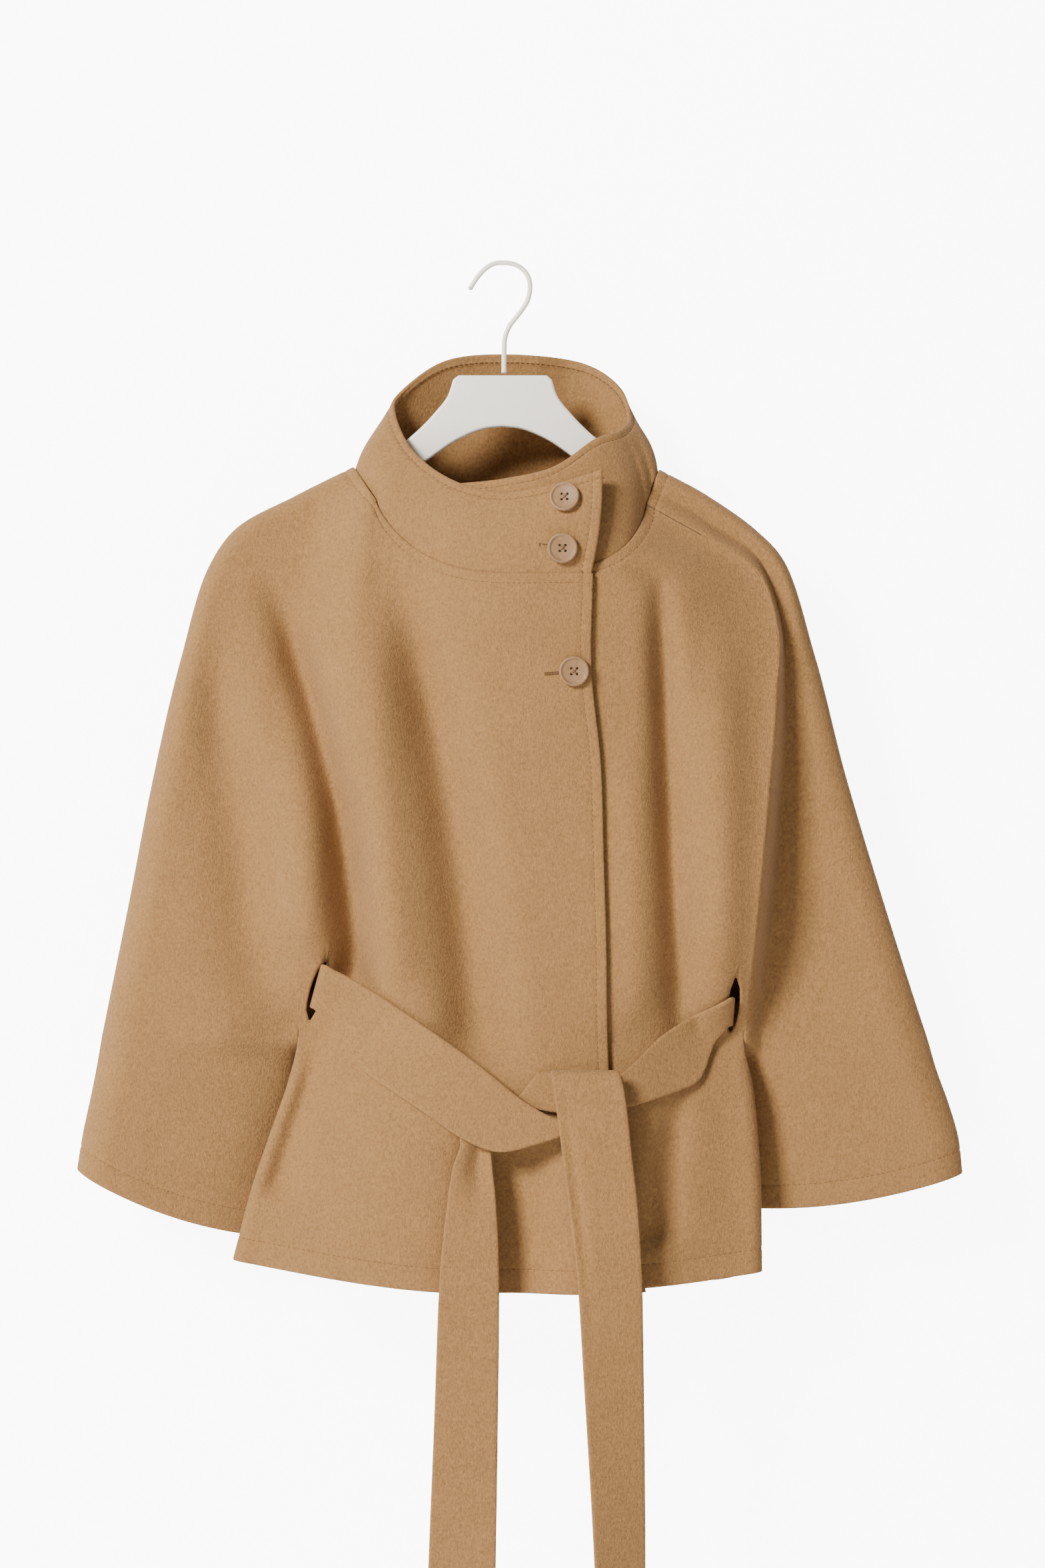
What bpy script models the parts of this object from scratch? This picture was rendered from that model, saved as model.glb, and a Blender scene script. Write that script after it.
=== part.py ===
"""A belted cape coat hanging on a hanger, in metres, +Z up.

The front faces -Y and +X is the viewer's right. The origin is the underside of the hook's arc,
where a rail or peg carries the hanger. The tables are in millimetres: `x` is across, `drop` is
the depth below the origin, and `y` is the depth away from the viewer.
"""
import math

import bmesh
import bpy
import numpy as np
from mathutils import Vector

MM = 0.001
CLOTH = 2.4
COLLAR_CLOTH = 3.4
BELT_CLOTH = 3.0
SEAM_GAP = 0.4
CLEAR = 0.35

UNDERARM = 0.70
SHOULDER_ROUND = 10.0
SLEEVE_ROUND = 24.0
SIDE_ROUND = 9.0
INNER_ROUND = {"left": 115.0, "right": 60.0, "back": 60.0}
LAP = 2.6
SIDE_GAP = 1.2
UNDERARM_GAP = 3.0
UNDERARM_DROP = 572
TURN_STEP = 0.5

BUTTON_RADIUS = 11.25
BUTTON_THICK = 3.6
HANGER_HALF = 5.0
HOOK_RADIUS = 1.85

SLEEVE_COLUMNS = 8
SKIN = (0.60, 0.41, 0.24)
CREAM = (0.83, 0.80, 0.75)


def table(columns, *rows):
    """A short table: its column names, then one row for each section."""
    return dict(zip(columns.split(), np.array(rows, float).T))


def read(data, column, at, key="t"):
    """Reads one column of a table as a smooth curve through its rows."""
    keys, values = data[key], data[column]
    slopes = np.gradient(values, keys)
    at = min(max(at, keys[0]), keys[-1])
    i = int(min(np.searchsorted(keys, at, side="right") - 1, len(keys) - 2))
    gap = keys[i + 1] - keys[i]
    f = (at - keys[i]) / gap
    return float((1 + 2 * f) * (1 - f) ** 2 * values[i] + f * (1 - f) ** 2 * gap * slopes[i]
                 + f * f * (3 - 2 * f) * values[i + 1] + f * f * (f - 1) * gap * slopes[i + 1])


def ramp(value):
    """Rises smoothly from 0 to 1."""
    f = min(max(value, 0.0), 1.0)
    return f * f * (3 - 2 * f)


def cap(distance, radius):
    """The rounded turn of cloth at a fold, from 0 at the fold to 1 past the radius."""
    f = 1 - min(max(distance / radius, 0.0), 1.0)
    return math.sqrt(1 - f * f)


# The two halves, from the neck (0) through the underarm (0.70) to the hem (1)
LEFT = table(
    "t outline_x outline_drop seam_x seam_drop tuck_x tuck_drop",
    (0.00, -111, 152, -94, 178, -94, 178),
    (0.08, -155, 174, -98, 222, -98, 222),
    (0.16, -200, 199, -103, 262, -103, 262),
    (0.22, -219, 226, -107, 292, -107, 292),
    (0.32, -240, 295, -115, 342, -115, 342),
    (0.46, -262, 390, -128, 415, -128, 415),
    (0.58, -279, 478, -141, 495, -141, 495),
    (0.70, -296, 562, -152, 572, -152, 572),
    (0.73, -299, 577, -153, 586, -156, 588),
    (0.78, -303, 600, -159, 612, -156.5, 615),
    (0.84, -308, 625, -170, 644, -162, 648),
    (0.90, -313, 648, -183, 682, -167, 680),
    (1.00, -318, 678, -199, 742, -174, 728))
RIGHT = table(
    "t outline_x outline_drop seam_x seam_drop tuck_x tuck_drop",
    (0.00, 117, 154, 107, 180, 107, 180),
    (0.08, 152, 173, 156, 208, 156, 208),
    (0.16, 190, 200, 193, 236, 193, 236),
    (0.22, 210, 222, 204, 272, 204, 272),
    (0.32, 233, 292, 202, 325, 202, 325),
    (0.46, 257, 385, 195, 405, 195, 405),
    (0.58, 284, 475, 187, 490, 187, 490),
    (0.70, 312, 563, 180, 572, 180, 572),
    (0.73, 317, 578, 180, 586, 185, 588),
    (0.78, 324, 602, 185, 610, 180, 611),
    (0.84, 333, 627, 188.5, 642, 178, 638),
    (0.90, 340, 650, 191, 680, 174, 665),
    (1.00, 344, 681, 192, 751, 170, 706))

# The front edges: the over edge shows, the under edge lies hidden behind it
EDGES = table(
    "t over_x over_drop under_x under_drop back_x back_drop",
    (0.00, 67, 234, -30, 229, 3, 158),
    (0.16, 66, 305, -30, 300, 3, 255),
    (0.32, 73, 375, -30, 372, 3, 352),
    (0.46, 75, 440, -28, 437, 3, 430),
    (0.58, 77, 508, -26, 505, 3, 505),
    (0.70, 78, 580, -24, 577, 3, 582),
    (0.85, 84, 665, -20, 663, 3, 670),
    (1.00, 106, 763, -16, 758, 3, 767))

# How far forward (front) or back the cloth stands at each depth below the hook
DEPTHS = table(
    "drop front left right back back_left back_right",
    (150, 30, 10, 10, 48, 12, 12),
    (180, 42, 30, 20, 46, 30, 20),
    (234, 58, 38, 23, 42, 34, 22),
    (300, 56, 42, 33, 40, 36, 28),
    (400, 56, 44, 48, 40, 34, 30),
    (490, 56, 38, 51, 42, 20, 18),
    (530, 54, 28, 40, 42, 8, 4),
    (572, 53, 14, 24, 42, -14, -24),
    (620, 54, 24, 30, 40, -24, -30),
    (690, 58, 31, 34, 42, -31, -34),
    (770, 62, 34, 36, 46, -34, -36))
SLEEVES = table(
    "t left right back tuck_y",
    (0.00, 12, 12, 14, 0),
    (0.16, 13, 12, 16, 0),
    (0.32, 20, 12, 22, 0),
    (0.58, 26, 13, 28, 0),
    (0.70, 26, 13, 26, 0),
    (0.80, 24, 13, 24, 2),
    (1.00, 24, 14, 24, 5))

# Folds that run down the front: depth above 0 is a trough, below 0 a ridge
FOLDS = table(
    "top_x top_drop mid_x mid_drop foot_x foot_drop top_width foot_width depth",
    (-182, 216, -131, 370, -110, 572, 13, 15, 26),
    (-200, 290, -166, 400, -140, 520, 20, 20, -6),
    (-226, 240, -200, 397, -176, 566, 20, 28, 10),
    (-101, 235, -90, 400, -76, 560, 18, 18, -8),
    (-84, 200, -43, 380, -16, 625, 20, 24, 24),
    (8, 612, 10, 700, 10, 800, 32, 36, 20),
    (114, 190, 122, 360, 133, 590, 9, 13, 16),
    (93, 330, 96, 440, 98, 580, 14, 14, -4),
    (160, 250, 163, 420, 160, 590, 19, 18, -10),
    (-134, 575, -152, 625, -172, 700, 12, 15, 10),
    (132, 606, 122, 665, 116, 735, 12, 14, 9))
BACK_FOLDS = table(
    "top_x top_drop mid_x mid_drop foot_x foot_drop top_width foot_width depth",
    (-70, 210, -96, 450, -108, 790, 20, 26, 12),
    (-18, 260, -34, 500, -46, 790, 22, 30, -8),
    (40, 240, 44, 480, 40, 790, 18, 28, 11),
    (92, 230, 108, 460, 116, 790, 18, 24, -8),
    (150, 260, 156, 430, 150, 600, 14, 20, 10))


def fold_depth(folds, x, drop):
    """The folds' part of the surface at one place: each runs down a curve and fades at its ends."""
    total = 0.0
    for i in range(len(folds["depth"])):
        top, mid, foot = (folds[end + "_drop"][i] for end in ("top", "mid", "foot"))
        if not top < drop < foot:
            continue
        xs = [folds[end + "_x"][i] for end in ("top", "mid", "foot")]
        centre = sum(xs[a] * (drop - p) * (drop - q) / ((r - p) * (r - q))
                     for a, (r, p, q) in enumerate(((top, mid, foot), (mid, top, foot),
                                                    (foot, top, mid))))
        along = (drop - top) / (foot - top)
        width = folds["top_width"][i] + along * (folds["foot_width"][i] - folds["top_width"][i])
        fade = ramp(along * 3) * ramp((1 - along) * 7)
        total += folds["depth"][i] * fade * math.exp(-((x - centre) / width) ** 2)
    return total


def seam_x(side, drop):
    """The x of a half's side seam at a drop."""
    return read(side, "seam_x", drop, "seam_drop")


def split(t):
    """0 above the underarm, 1 where the sleeve and the body are two tubes."""
    return ramp((t - UNDERARM - 0.012) / 0.035)


def front_depth(x, drop, keep="all"):
    """The y of the two fronts' shared surface over the body, with all folds or only some."""
    left, right = seam_x(LEFT, drop), seam_x(RIGHT, drop)
    middle = read(DEPTHS, "front", drop, "drop")
    q = (2 * x - left - right) / (right - left)
    side = read(DEPTHS, "right" if q > 0 else "left", drop, "drop")
    dome = 1 - ramp(abs(q) ** 1.7)
    edge = min(x - left, right - x)
    below = ramp((drop - UNDERARM_DROP) / 40)
    calm = 1 - below * (1 - ramp((edge + 4) / 24))
    turn = 7 * cap(edge, SIDE_ROUND) * below
    folds = calm * fold_depth(FOLDS, x, drop)
    if keep == "ridges":
        folds = min(folds, 0.0)
    if keep == "troughs":
        folds = max(folds, 0.0)
    return -side - (middle - side) * dome - turn + folds


def back_side(name, drop):
    """The y of the back at a side seam. From the underarm down it follows the front, just clear."""
    above = read(DEPTHS, "back_" + name, min(drop, UNDERARM_DROP), "drop")
    apart = UNDERARM_GAP * ramp((drop - 530) / 30)
    apart -= (UNDERARM_GAP - SIDE_GAP) * ramp((drop - 590) / 30)
    if drop <= UNDERARM_DROP:
        return above + apart
    return apart - read(DEPTHS, name, drop, "drop")


def back_depth(x, drop):
    """The y of the back over the body. Below the underarm it starts in front of the sleeves."""
    left, right = seam_x(LEFT, drop), seam_x(RIGHT, drop)
    middle = read(DEPTHS, "back", drop, "drop")
    q = (2 * x - left - right) / (right - left)
    side = back_side("right" if q > 0 else "left", drop)
    edge = max(min(x - left, right - x), 0.0)
    below = ramp((drop - UNDERARM_DROP) / 40)
    dome = 1 - ramp(abs(q) ** 1.7)
    swept = ramp((edge - 22) / 60) + 0.08 * cap(edge, SIDE_ROUND) * (1 - ramp((edge - 9) / 40))
    rise = (1 - below) * dome + below * swept
    calm = ramp((edge - 20 * below) / 40)
    return side + (middle - side) * rise + calm * fold_depth(BACK_FOLDS, x, drop)


def sleeve_point(half, name, t, s, back):
    """A point of a sleeve at section t, from the overarm seam (s 0) to the seam inside (s 1)."""
    outer = (read(half, "outline_x", t), read(half, "outline_drop", t))
    inner = (read(half, "tuck_x", t), read(half, "tuck_drop", t))
    x = outer[0] + s * (inner[0] - outer[0])
    bow = 9 * 4 * s * (1 - s) * ramp((t - 0.5) / 0.5)
    drop = outer[1] + s * (inner[1] - outer[1]) + bow
    width = math.dist(outer, inner)
    radius = SHOULDER_ROUND + (SLEEVE_ROUND - SHOULDER_ROUND) * ramp((t - 0.1) / 0.6)
    swell = read(SLEEVES, "back" if back else name, t)
    sign = 1 if back else -1
    fall = 60.0
    if name == "right":
        fall = 60 - 44 * ramp((t - 0.45) / 0.2) if back else 16.0
    seam_drop = read(half, "seam_drop", min(t, UNDERARM))
    side = back_side(name, seam_drop) if back else read(DEPTHS, name, seam_drop, "drop")
    fall = min(fall, width)
    reach = ramp((s * width - width + fall) / fall)
    opened = swell * cap(s * width, radius) * (1 - reach) + side * reach
    tuck = read(SLEEVES, "tuck_y", t) * ramp(s)
    closed = swell * cap(s * width, radius) * cap((1 - s) * width, INNER_ROUND["back" if back else name])
    k = split(t)
    if back:
        closed += (UNDERARM_GAP - 2 * SEAM_GAP) * ramp(s * 3 - 2) * (1 - ramp((t - 0.72) / 0.08))
    gap = SEAM_GAP * (1 - (1 - k) * ramp(s * 3))
    y = sign * (opened * (1 - k) + closed * k + gap) + k * tuck
    if not back:
        y += fold_depth(FOLDS, x, drop) * ramp(s * width / 40) * (1 - k)
    return x, y, drop


def body_point(half, column, t, s, neck, hem, depth, shift):
    """A point of a body panel at section t, from the side seam (s 0) to its edge (s 1)."""
    side = (read(half, "seam_x", t), read(half, "seam_drop", t))
    edge = (read(EDGES, column + "_x", t), read(EDGES, column + "_drop", t))
    x = side[0] + s * (edge[0] - side[0])
    drop = side[1] + s * (edge[1] - side[1])
    drop += neck(s) * (1 - ramp(t / 0.75)) + hem(s) * ramp((t - 0.35) / 0.65)
    return x, depth(x, drop) + shift, drop


def sleeve_stations(count=SLEEVE_COLUMNS):
    """Places across a sleeve, closer together where the cloth turns at both seams."""
    inner = [0.5 - 0.5 * math.cos(math.pi * i / count) for i in range(1, count)]
    return [0.0, 0.005] + inner + [0.995, 1.0]


def body_stations(count, width):
    """Places across a body panel, closer together at the side seam."""
    return [0.0, TURN_STEP / width] + [(i / count) ** 1.35 for i in range(1, count + 1)]


def new_object(name, mesh, colour, roughness, metallic=0.0, smooth=True):
    """Makes an object of a mesh, with its own material, in the coat's collection."""
    material = bpy.data.materials.new(name)
    material.use_nodes = True
    shader = material.node_tree.nodes["Principled BSDF"]
    shader.inputs["Base Color"].default_value = (*colour, 1)
    shader.inputs["Roughness"].default_value = roughness
    shader.inputs["Metallic"].default_value = metallic
    mesh.materials.append(material)
    if smooth:
        mesh.shade_smooth()
    piece = bpy.data.objects.new(name, mesh)
    coat.objects.link(piece)
    return piece


def cloth_object(name, points, faces, thickness, offset=0.0):
    """Makes a wall of cloth on a grid of points given in millimetres as x, y, drop."""
    mesh = bpy.data.meshes.new(name)
    mesh.from_pydata([(x * MM, y * MM, -drop * MM) for x, y, drop in points], [], faces)
    shape = bmesh.new()
    shape.from_mesh(mesh)
    bmesh.ops.recalc_face_normals(shape, faces=shape.faces)
    shape.to_mesh(mesh)
    shape.free()
    piece = new_object(name, mesh, SKIN, 0.95)
    wall = piece.modifiers.new("wall", "SOLIDIFY")
    wall.thickness = thickness * MM
    wall.offset = offset
    return piece


def grid_faces(grid, skip=()):
    """Faces between neighbouring columns and rows of a grid of point numbers."""
    faces = []
    for row in range(len(grid) - 1):
        for column in range(len(grid[0]) - 1):
            if (row, column) not in skip:
                faces.append((grid[row][column], grid[row][column + 1],
                              grid[row + 1][column + 1], grid[row + 1][column]))
    return faces


# Places of the rows: closer at the belt slots and below the underarm
LEVELS = ([0.058 * i for i in range(11)]
          + [0.615, 0.635, 0.66, 0.685, UNDERARM, 0.712, 0.728, 0.76, 0.81, 0.87, 0.935, 1.0])
SLOTS = {
    "left": {"first": 0.615, "last": 0.685, "top_in": 13.5, "foot_in": 7.5},
    "right": {"first": 0.635, "last": UNDERARM, "top_in": 10.5, "foot_in": 10.5},
}
SLOT_HALF = 3.5


def slot_inset(name, t):
    """How far a slot's middle line lies inside the side seam."""
    slot = SLOTS[name]
    f = min(max((t - slot["first"]) / (slot["last"] - slot["first"]), 0.0), 1.0)
    return slot["top_in"] + f * (slot["foot_in"] - slot["top_in"])


def front_stations(half, name, column, t, count):
    """Places across a front: the side seam, the slot's two lips, then evenly to the edge."""
    width = abs(read(EDGES, column + "_x", t) - read(half, "seam_x", t))
    lips = [(slot_inset(name, t) + side * SLOT_HALF) / width for side in (-1, 1)]
    rest = [lips[1] + (1 - lips[1]) * (i / count) ** 1.1 for i in range(1, count + 1)]
    return [0.0, TURN_STEP / width] + lips + rest


def over_neck(s):
    """How far the over front's neckline sags below a straight line."""
    return 30 * math.sin(math.pi * s ** 0.625) ** 1.15


def under_neck(s):
    """How far the under front's neckline sags below a straight line."""
    return 32 * math.sin(math.pi * s ** 0.51) ** 1.2


def over_hem(s):
    """How far the over front's hem hangs below a straight line."""
    return 10 * math.sin(math.pi * s)


def under_hem(s):
    """How far the under front's hem hangs below a straight line."""
    return 7 * math.sin(math.pi * s)


def back_neck(s):
    """How far the back neckline stands above a straight line to the centre."""
    return -9 * math.sin(math.pi * s ** 0.8)


def back_hem(s):
    """How far the back hem hangs below a straight line to the centre."""
    return 8 * math.sin(math.pi * s)


def two_tubes(body_rows, sleeve_rows):
    """Joins a sleeve's and a body panel's rows into one sheet, parted below the underarm."""
    points = []
    grid = []
    parted = LEVELS.index(UNDERARM)
    for row, (sleeve, body) in enumerate(zip(sleeve_rows, body_rows)):
        numbers = []
        for point in sleeve[:-1]:
            points.append(point)
            numbers.append(len(points) - 1)
        if row > parted:
            points.append(sleeve[-1])
            seam_of_sleeve = len(points) - 1
        points.append(body[0])
        seam_of_body = len(points) - 1
        if row <= parted:
            seam_of_sleeve = seam_of_body
        rest = []
        for point in body[1:]:
            points.append(point)
            rest.append(len(points) - 1)
        grid.append((numbers + [seam_of_sleeve], [seam_of_body] + rest))
    return points, [row[0] for row in grid], [row[1] for row in grid]


def front_panel(half, name, column, count, neck, hem, shift):
    """One front with its sleeve, and a slot for the belt."""
    sleeves = []
    bodies = []
    for t in LEVELS:
        sleeve = [sleeve_point(half, name, t, s, back=False) for s in sleeve_stations()]
        body = [body_point(half, column, t, s, neck, hem, front_depth, shift)
                for s in front_stations(half, name, column, t, count)]
        sleeves.append([(x, y + shift * ramp(s * 1.4) * (1 - split(t)), drop)
                        for (x, y, drop), s in zip(sleeve, sleeve_stations())])
        bodies.append(body)
        if t <= UNDERARM:
            sleeves[-1][-1] = body[0]
    points, sleeve_grid, body_grid = two_tubes(bodies, sleeves)
    first = LEVELS.index(SLOTS[name]["first"])
    last = LEVELS.index(SLOTS[name]["last"])
    hole = {(row, 2) for row in range(first, last)}
    faces = grid_faces(sleeve_grid) + grid_faces(body_grid, skip=hole)
    return points, faces


def front_over():
    """The wearer's right front, lapped over the other."""
    points, faces = front_panel(LEFT, "left", "over", 14, over_neck, over_hem, -LAP)
    return cloth_object("front_over", points, faces, CLOTH)


def front_under():
    """The wearer's left front, whose edge lies hidden under the lap."""
    points, faces = front_panel(RIGHT, "right", "under", 14, under_neck, under_hem, LAP)
    return cloth_object("front_under", points, faces, CLOTH)


def back_stations(half, t):
    """Places across one half of the back."""
    return body_stations(11, abs(read(EDGES, "back_x", t) - read(half, "seam_x", t)))


def back_half(half, name, shift):
    """One half of the back, from its overarm seam to the centre line."""
    sleeves = []
    bodies = []
    for t in LEVELS:
        low = shift * ramp((t - 0.5) / 0.15)
        sleeve = [sleeve_point(half, name, t, s, back=True) for s in sleeve_stations()]
        body = [body_point(half, "back", t, s, back_neck, back_hem, back_depth, 0)
                for s in back_stations(half, t)]
        sleeves.append([(x, y + low * ramp(s * 3 - 2) * (1 - split(t)), drop)
                        for (x, y, drop), s in zip(sleeve, sleeve_stations())])
        bodies.append([(x, y + low * ramp(1 - 3 * s), drop)
                       for (x, y, drop), s in zip(body, back_stations(half, t))])
        if t <= UNDERARM:
            sleeves[-1][-1] = bodies[-1][0]
    return two_tubes(bodies, sleeves)


def back():
    """The one back piece with both sleeves."""
    points, sleeve_grid, body_grid = back_half(LEFT, "left", -LAP)
    faces = grid_faces(sleeve_grid) + grid_faces(body_grid)
    centre = [row[-1] for row in body_grid]
    more, sleeve_grid, body_grid = back_half(RIGHT, "right", LAP)
    shifted = len(points)
    number = {row[-1]: middle for row, middle in zip(body_grid, centre)}
    points = points + more
    for face in grid_faces(sleeve_grid) + grid_faces(body_grid):
        faces.append(tuple(number.get(i, i + shifted) for i in face))
    used = sorted({i for face in faces for i in face})
    place = {old: new for new, old in enumerate(used)}
    faces = [tuple(place[i] for i in face) for face in faces]
    return cloth_object("back", [points[i] for i in used], faces, CLOTH)


# The collar, from its over end round the neck to its under end: where its foot meets the neckline
# (layer 0 the over front, 1 the back, 2 the under front), and its rim
COLLAR = table(
    "t layer foot_x rim_x rim_y rim_drop",
    (0, 0, 66.5, 74, -55, 157),
    (1, 0, 25, 37, -51, 168),
    (2, 0, -12, -2, -46, 173.5),
    (3, 0, -57, -38, -37, 163),
    (4, 0, -92, -66, -21, 141),
    (5, 0, -111, -80, 2, 112),
    (6, 1, -92, -77, 23, 93),
    (7, 1, -48, -44, 37, 68),
    (8, 1, 3, 4, 42, 62.5),
    (9, 1, 54, 58, 37, 69),
    (10, 1, 97, 86, 23, 87),
    (11, 1, 117, 94, 6, 112),
    (12, 2, 105, 87, -17, 125),
    (13, 2, 82, 68, -31, 133),
    (14, 2, 38, 38, -40, 154),
    (15, 2, 0, 0, -39, 163),
    (16, 2, -28, -34, -31, 166))
COLLAR_RISE = 3.6


def neck_edge(t):
    """The neckline point that the collar's foot meets at a place round the neck."""
    x = read(COLLAR, "foot_x", t)
    x = min(max(x, LEFT["outline_x"][0]), RIGHT["outline_x"][0])
    behind = 5 < t < 11
    half, name = (LEFT, "left") if x < EDGES["back_x"][0] and t < 12 else (RIGHT, "right")
    if t <= 5:
        half, name = LEFT, "left"
    seam, outer = half["seam_x"][0], half["outline_x"][0]
    if (x - seam) * (outer - seam) > 0:
        return sleeve_point(half, name, 0, (x - outer) / (seam - outer), behind)
    if behind:
        s = (x - seam) / (EDGES["back_x"][0] - seam)
        return body_point(half, "back", 0, s, back_neck, back_hem, back_depth, 0)
    if t <= 5:
        s = (x - seam) / (EDGES["over_x"][0] - seam)
        return body_point(half, "over", 0, s, over_neck, over_hem, front_depth, -LAP)
    s = (x - seam) / (EDGES["under_x"][0] - seam)
    return body_point(half, "under", 0, s, under_neck, under_hem, front_depth, LAP)


def collar_point(t, v):
    """A point of the collar's middle surface, v 0 at the neck seam and 1 at the rim."""
    foot = neck_edge(t)
    rim = [read(COLLAR, "rim_" + axis, t) for axis in ("x", "y", "drop")]
    x, y, drop = (a + v * (b - a) for a, b in zip(foot, rim))
    swell = 4 * math.sin(math.pi * v)
    out = Vector((x - 3, y * 1.6)).normalized()
    return x + swell * out.x, y + swell * out.y, drop - COLLAR_RISE * (1 - v)


def collar():
    """The funnel collar: one band that overlaps itself at the front."""
    along, high = 48, 5
    grid = [[row * (high + 1) + i for i in range(high + 1)] for row in range(along + 1)]
    points = [collar_point(16 * row / along, i / high)
              for row in range(along + 1) for i in range(high + 1)]
    return cloth_object("collar", points, grid_faces(grid), COLLAR_CLOTH)


def lapped(x, drop, keep="ridges"):
    """The y of the fronts' middle surface as something that lies on it meets it."""
    step = ramp((x - read(EDGES, "over_x", drop, "over_drop")) / 6)
    return front_depth(x, min(drop, 762), keep) - LAP + 2 * LAP * step


def stand_off(x, drop, lift):
    """The y of something that lies in front of the fronts, or behind them with a lift below 0."""
    keep = "ridges" if lift > 0 else "troughs"
    slope = (lapped(x + 2, drop, keep) - lapped(x - 2, drop, keep)) / 4
    return lapped(x, drop, keep) - lift * math.sqrt(1 + slope * slope)


BELT_LIFT = CLOTH / 2 + BELT_CLOTH / 2 + CLEAR
TURN_RADIUS = 3.9
BELT_COLUMNS = "top_x top_drop foot_x foot_drop lift"
BELT_LEFT = table(
    "t " + BELT_COLUMNS,
    (0, -114, 532, -130, 577, BELT_LIFT + 0.6),
    (1, -82, 551, -104, 600, BELT_LIFT + 0.8),
    (2, -30, 586, -58, 630, BELT_LIFT + 3.6),
    (3, -6, 604, -28, 650, BELT_LIFT + 5.0),
    (4, 14, 620, -2, 659, BELT_LIFT + 5.4),
    (5, 32, 631, 26, 653, BELT_LIFT + 6.4),
    (6, 48, 637, 48, 646, BELT_LIFT + 7.0))
BELT_RIGHT = table(
    "t " + BELT_COLUMNS,
    (0, 154, 555, 157, 583, BELT_LIFT + 1.4),
    (1, 136, 564, 146, 608, BELT_LIFT + 1.4),
    (2, 116, 577, 126, 617, BELT_LIFT + 2.0),
    (3, 98, 594, 107, 623, BELT_LIFT + 4.4),
    (4, 84, 604, 90, 627, BELT_LIFT + 6.4),
    (5, 64, 609, 64, 629, BELT_LIFT + 7.4))
BELT_INSIDE = table(
    "t " + BELT_COLUMNS,
    (0, -112, 525, -123, 565, -BELT_LIFT - 0.5),
    (1, -70, 534, -74, 582, -15),
    (2, -10, 548, -10, 597, -18),
    (3, 50, 553, 50, 602, -18),
    (4, 110, 548, 110, 594, -18),
    (5, 151, 538, 153, 576, -BELT_LIFT - 0.5))


def belt_row(top_x, top_drop, foot_x, foot_drop, lift, across=3):
    """One row of points across the belt, lying on the fronts at a lift."""
    row = []
    for i in range(across + 1):
        f = i / across
        x, drop = top_x + f * (foot_x - top_x), top_drop + f * (foot_drop - top_drop)
        row.append((x, stand_off(x, drop, lift), drop))
    return row


def slot_turn(half, name, top_drop, foot_drop):
    """Rows of the belt round a slot's inner lip, from inside the coat to outside."""
    inward = 1 if name == "left" else -1
    places = []
    for drop in (top_drop, foot_drop):
        t = float(np.interp(drop, half["seam_drop"], half["t"]))
        lip = seam_x(half, drop) + inward * (slot_inset(name, t) + SLOT_HALF)
        places.append(lip)
    rows = []
    for x_in in (10, 2):
        rows.append(belt_row(places[0] + inward * x_in, top_drop,
                             places[1] + inward * x_in, foot_drop, -BELT_LIFT - 0.3))
    for degrees in (-50, 0, 50):
        turn = math.radians(degrees)
        out = -inward * TURN_RADIUS * math.cos(turn)
        rows.append(belt_row(places[0] + out, top_drop, places[1] + out, foot_drop,
                             TURN_RADIUS * math.sin(turn)))
    rows.append(belt_row(places[0] + inward * 3, top_drop + 3, places[1] + inward * 3,
                         foot_drop + 6, BELT_LIFT + 1.2))
    return rows


def strip_object(name, rows):
    """Makes a length of belt through rows of points."""
    grid = [[row * len(rows[0]) + i for i in range(len(rows[0]))] for row in range(len(rows))]
    points = [point for row in rows for point in row]
    return cloth_object(name, points, grid_faces(grid), BELT_CLOTH)


def table_rows(data, count):
    """Rows of belt points, spaced evenly along a belt table."""
    last = data["t"][-1]
    names = BELT_COLUMNS.split()
    return [belt_row(*(read(data, name, last * i / count) for name in names))
            for i in range(count + 1)]


def belt_lengths():
    """The belt's lengths that lie on the fronts, pass the slots and cross inside."""
    strip_object("belt_left", slot_turn(LEFT, "left", 523, 556) + table_rows(BELT_LEFT, 13))
    strip_object("belt_right", slot_turn(RIGHT, "right", 547, 569) + table_rows(BELT_RIGHT, 9))
    strip_object("belt_inside", table_rows(BELT_INSIDE, 18))


TAIL_RIGHT = table(
    "t left_x right_x drop lift turn",
    (0, 38, 84, 607, BELT_LIFT + 8.2, 0),
    (1, 36, 85, 600.5, BELT_LIFT + 10.4, 0),
    (2, 36, 87, 603, BELT_LIFT + 13.0, 0),
    (3, 39, 91, 622, BELT_LIFT + 12.6, 0),
    (4, 44, 95, 659, BELT_LIFT + 10.0, 0),
    (5, 49, 99.5, 699, BELT_LIFT + 6.5, 1),
    (6, 55, 102.5, 750, BELT_LIFT + 6, 4),
    (7, 60, 104, 830, BELT_LIFT + 3, 9),
    (8, 66, 105, 930, BELT_LIFT + 2, 14),
    (9, 71, 105, 1036, BELT_LIFT + 2, 16))
TAIL_LEFT = table(
    "t left_x right_x drop lift turn",
    (0, -33, -8, 640, BELT_LIFT + 0.2, 0),
    (1, -31, -8, 655, BELT_LIFT + 0.4, 0),
    (2, -36, -7, 670, BELT_LIFT + 2, 0),
    (3, -40.5, -4, 699, BELT_LIFT + 3, 0),
    (4, -46, -2, 755, BELT_LIFT + 3, 0),
    (5, -50, -3, 860, BELT_LIFT + 2, 0),
    (6, -54, -4.5, 960, BELT_LIFT + 2, 0),
    (7, -56, -5.5, 1030, BELT_LIFT + 2, 0))


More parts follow.
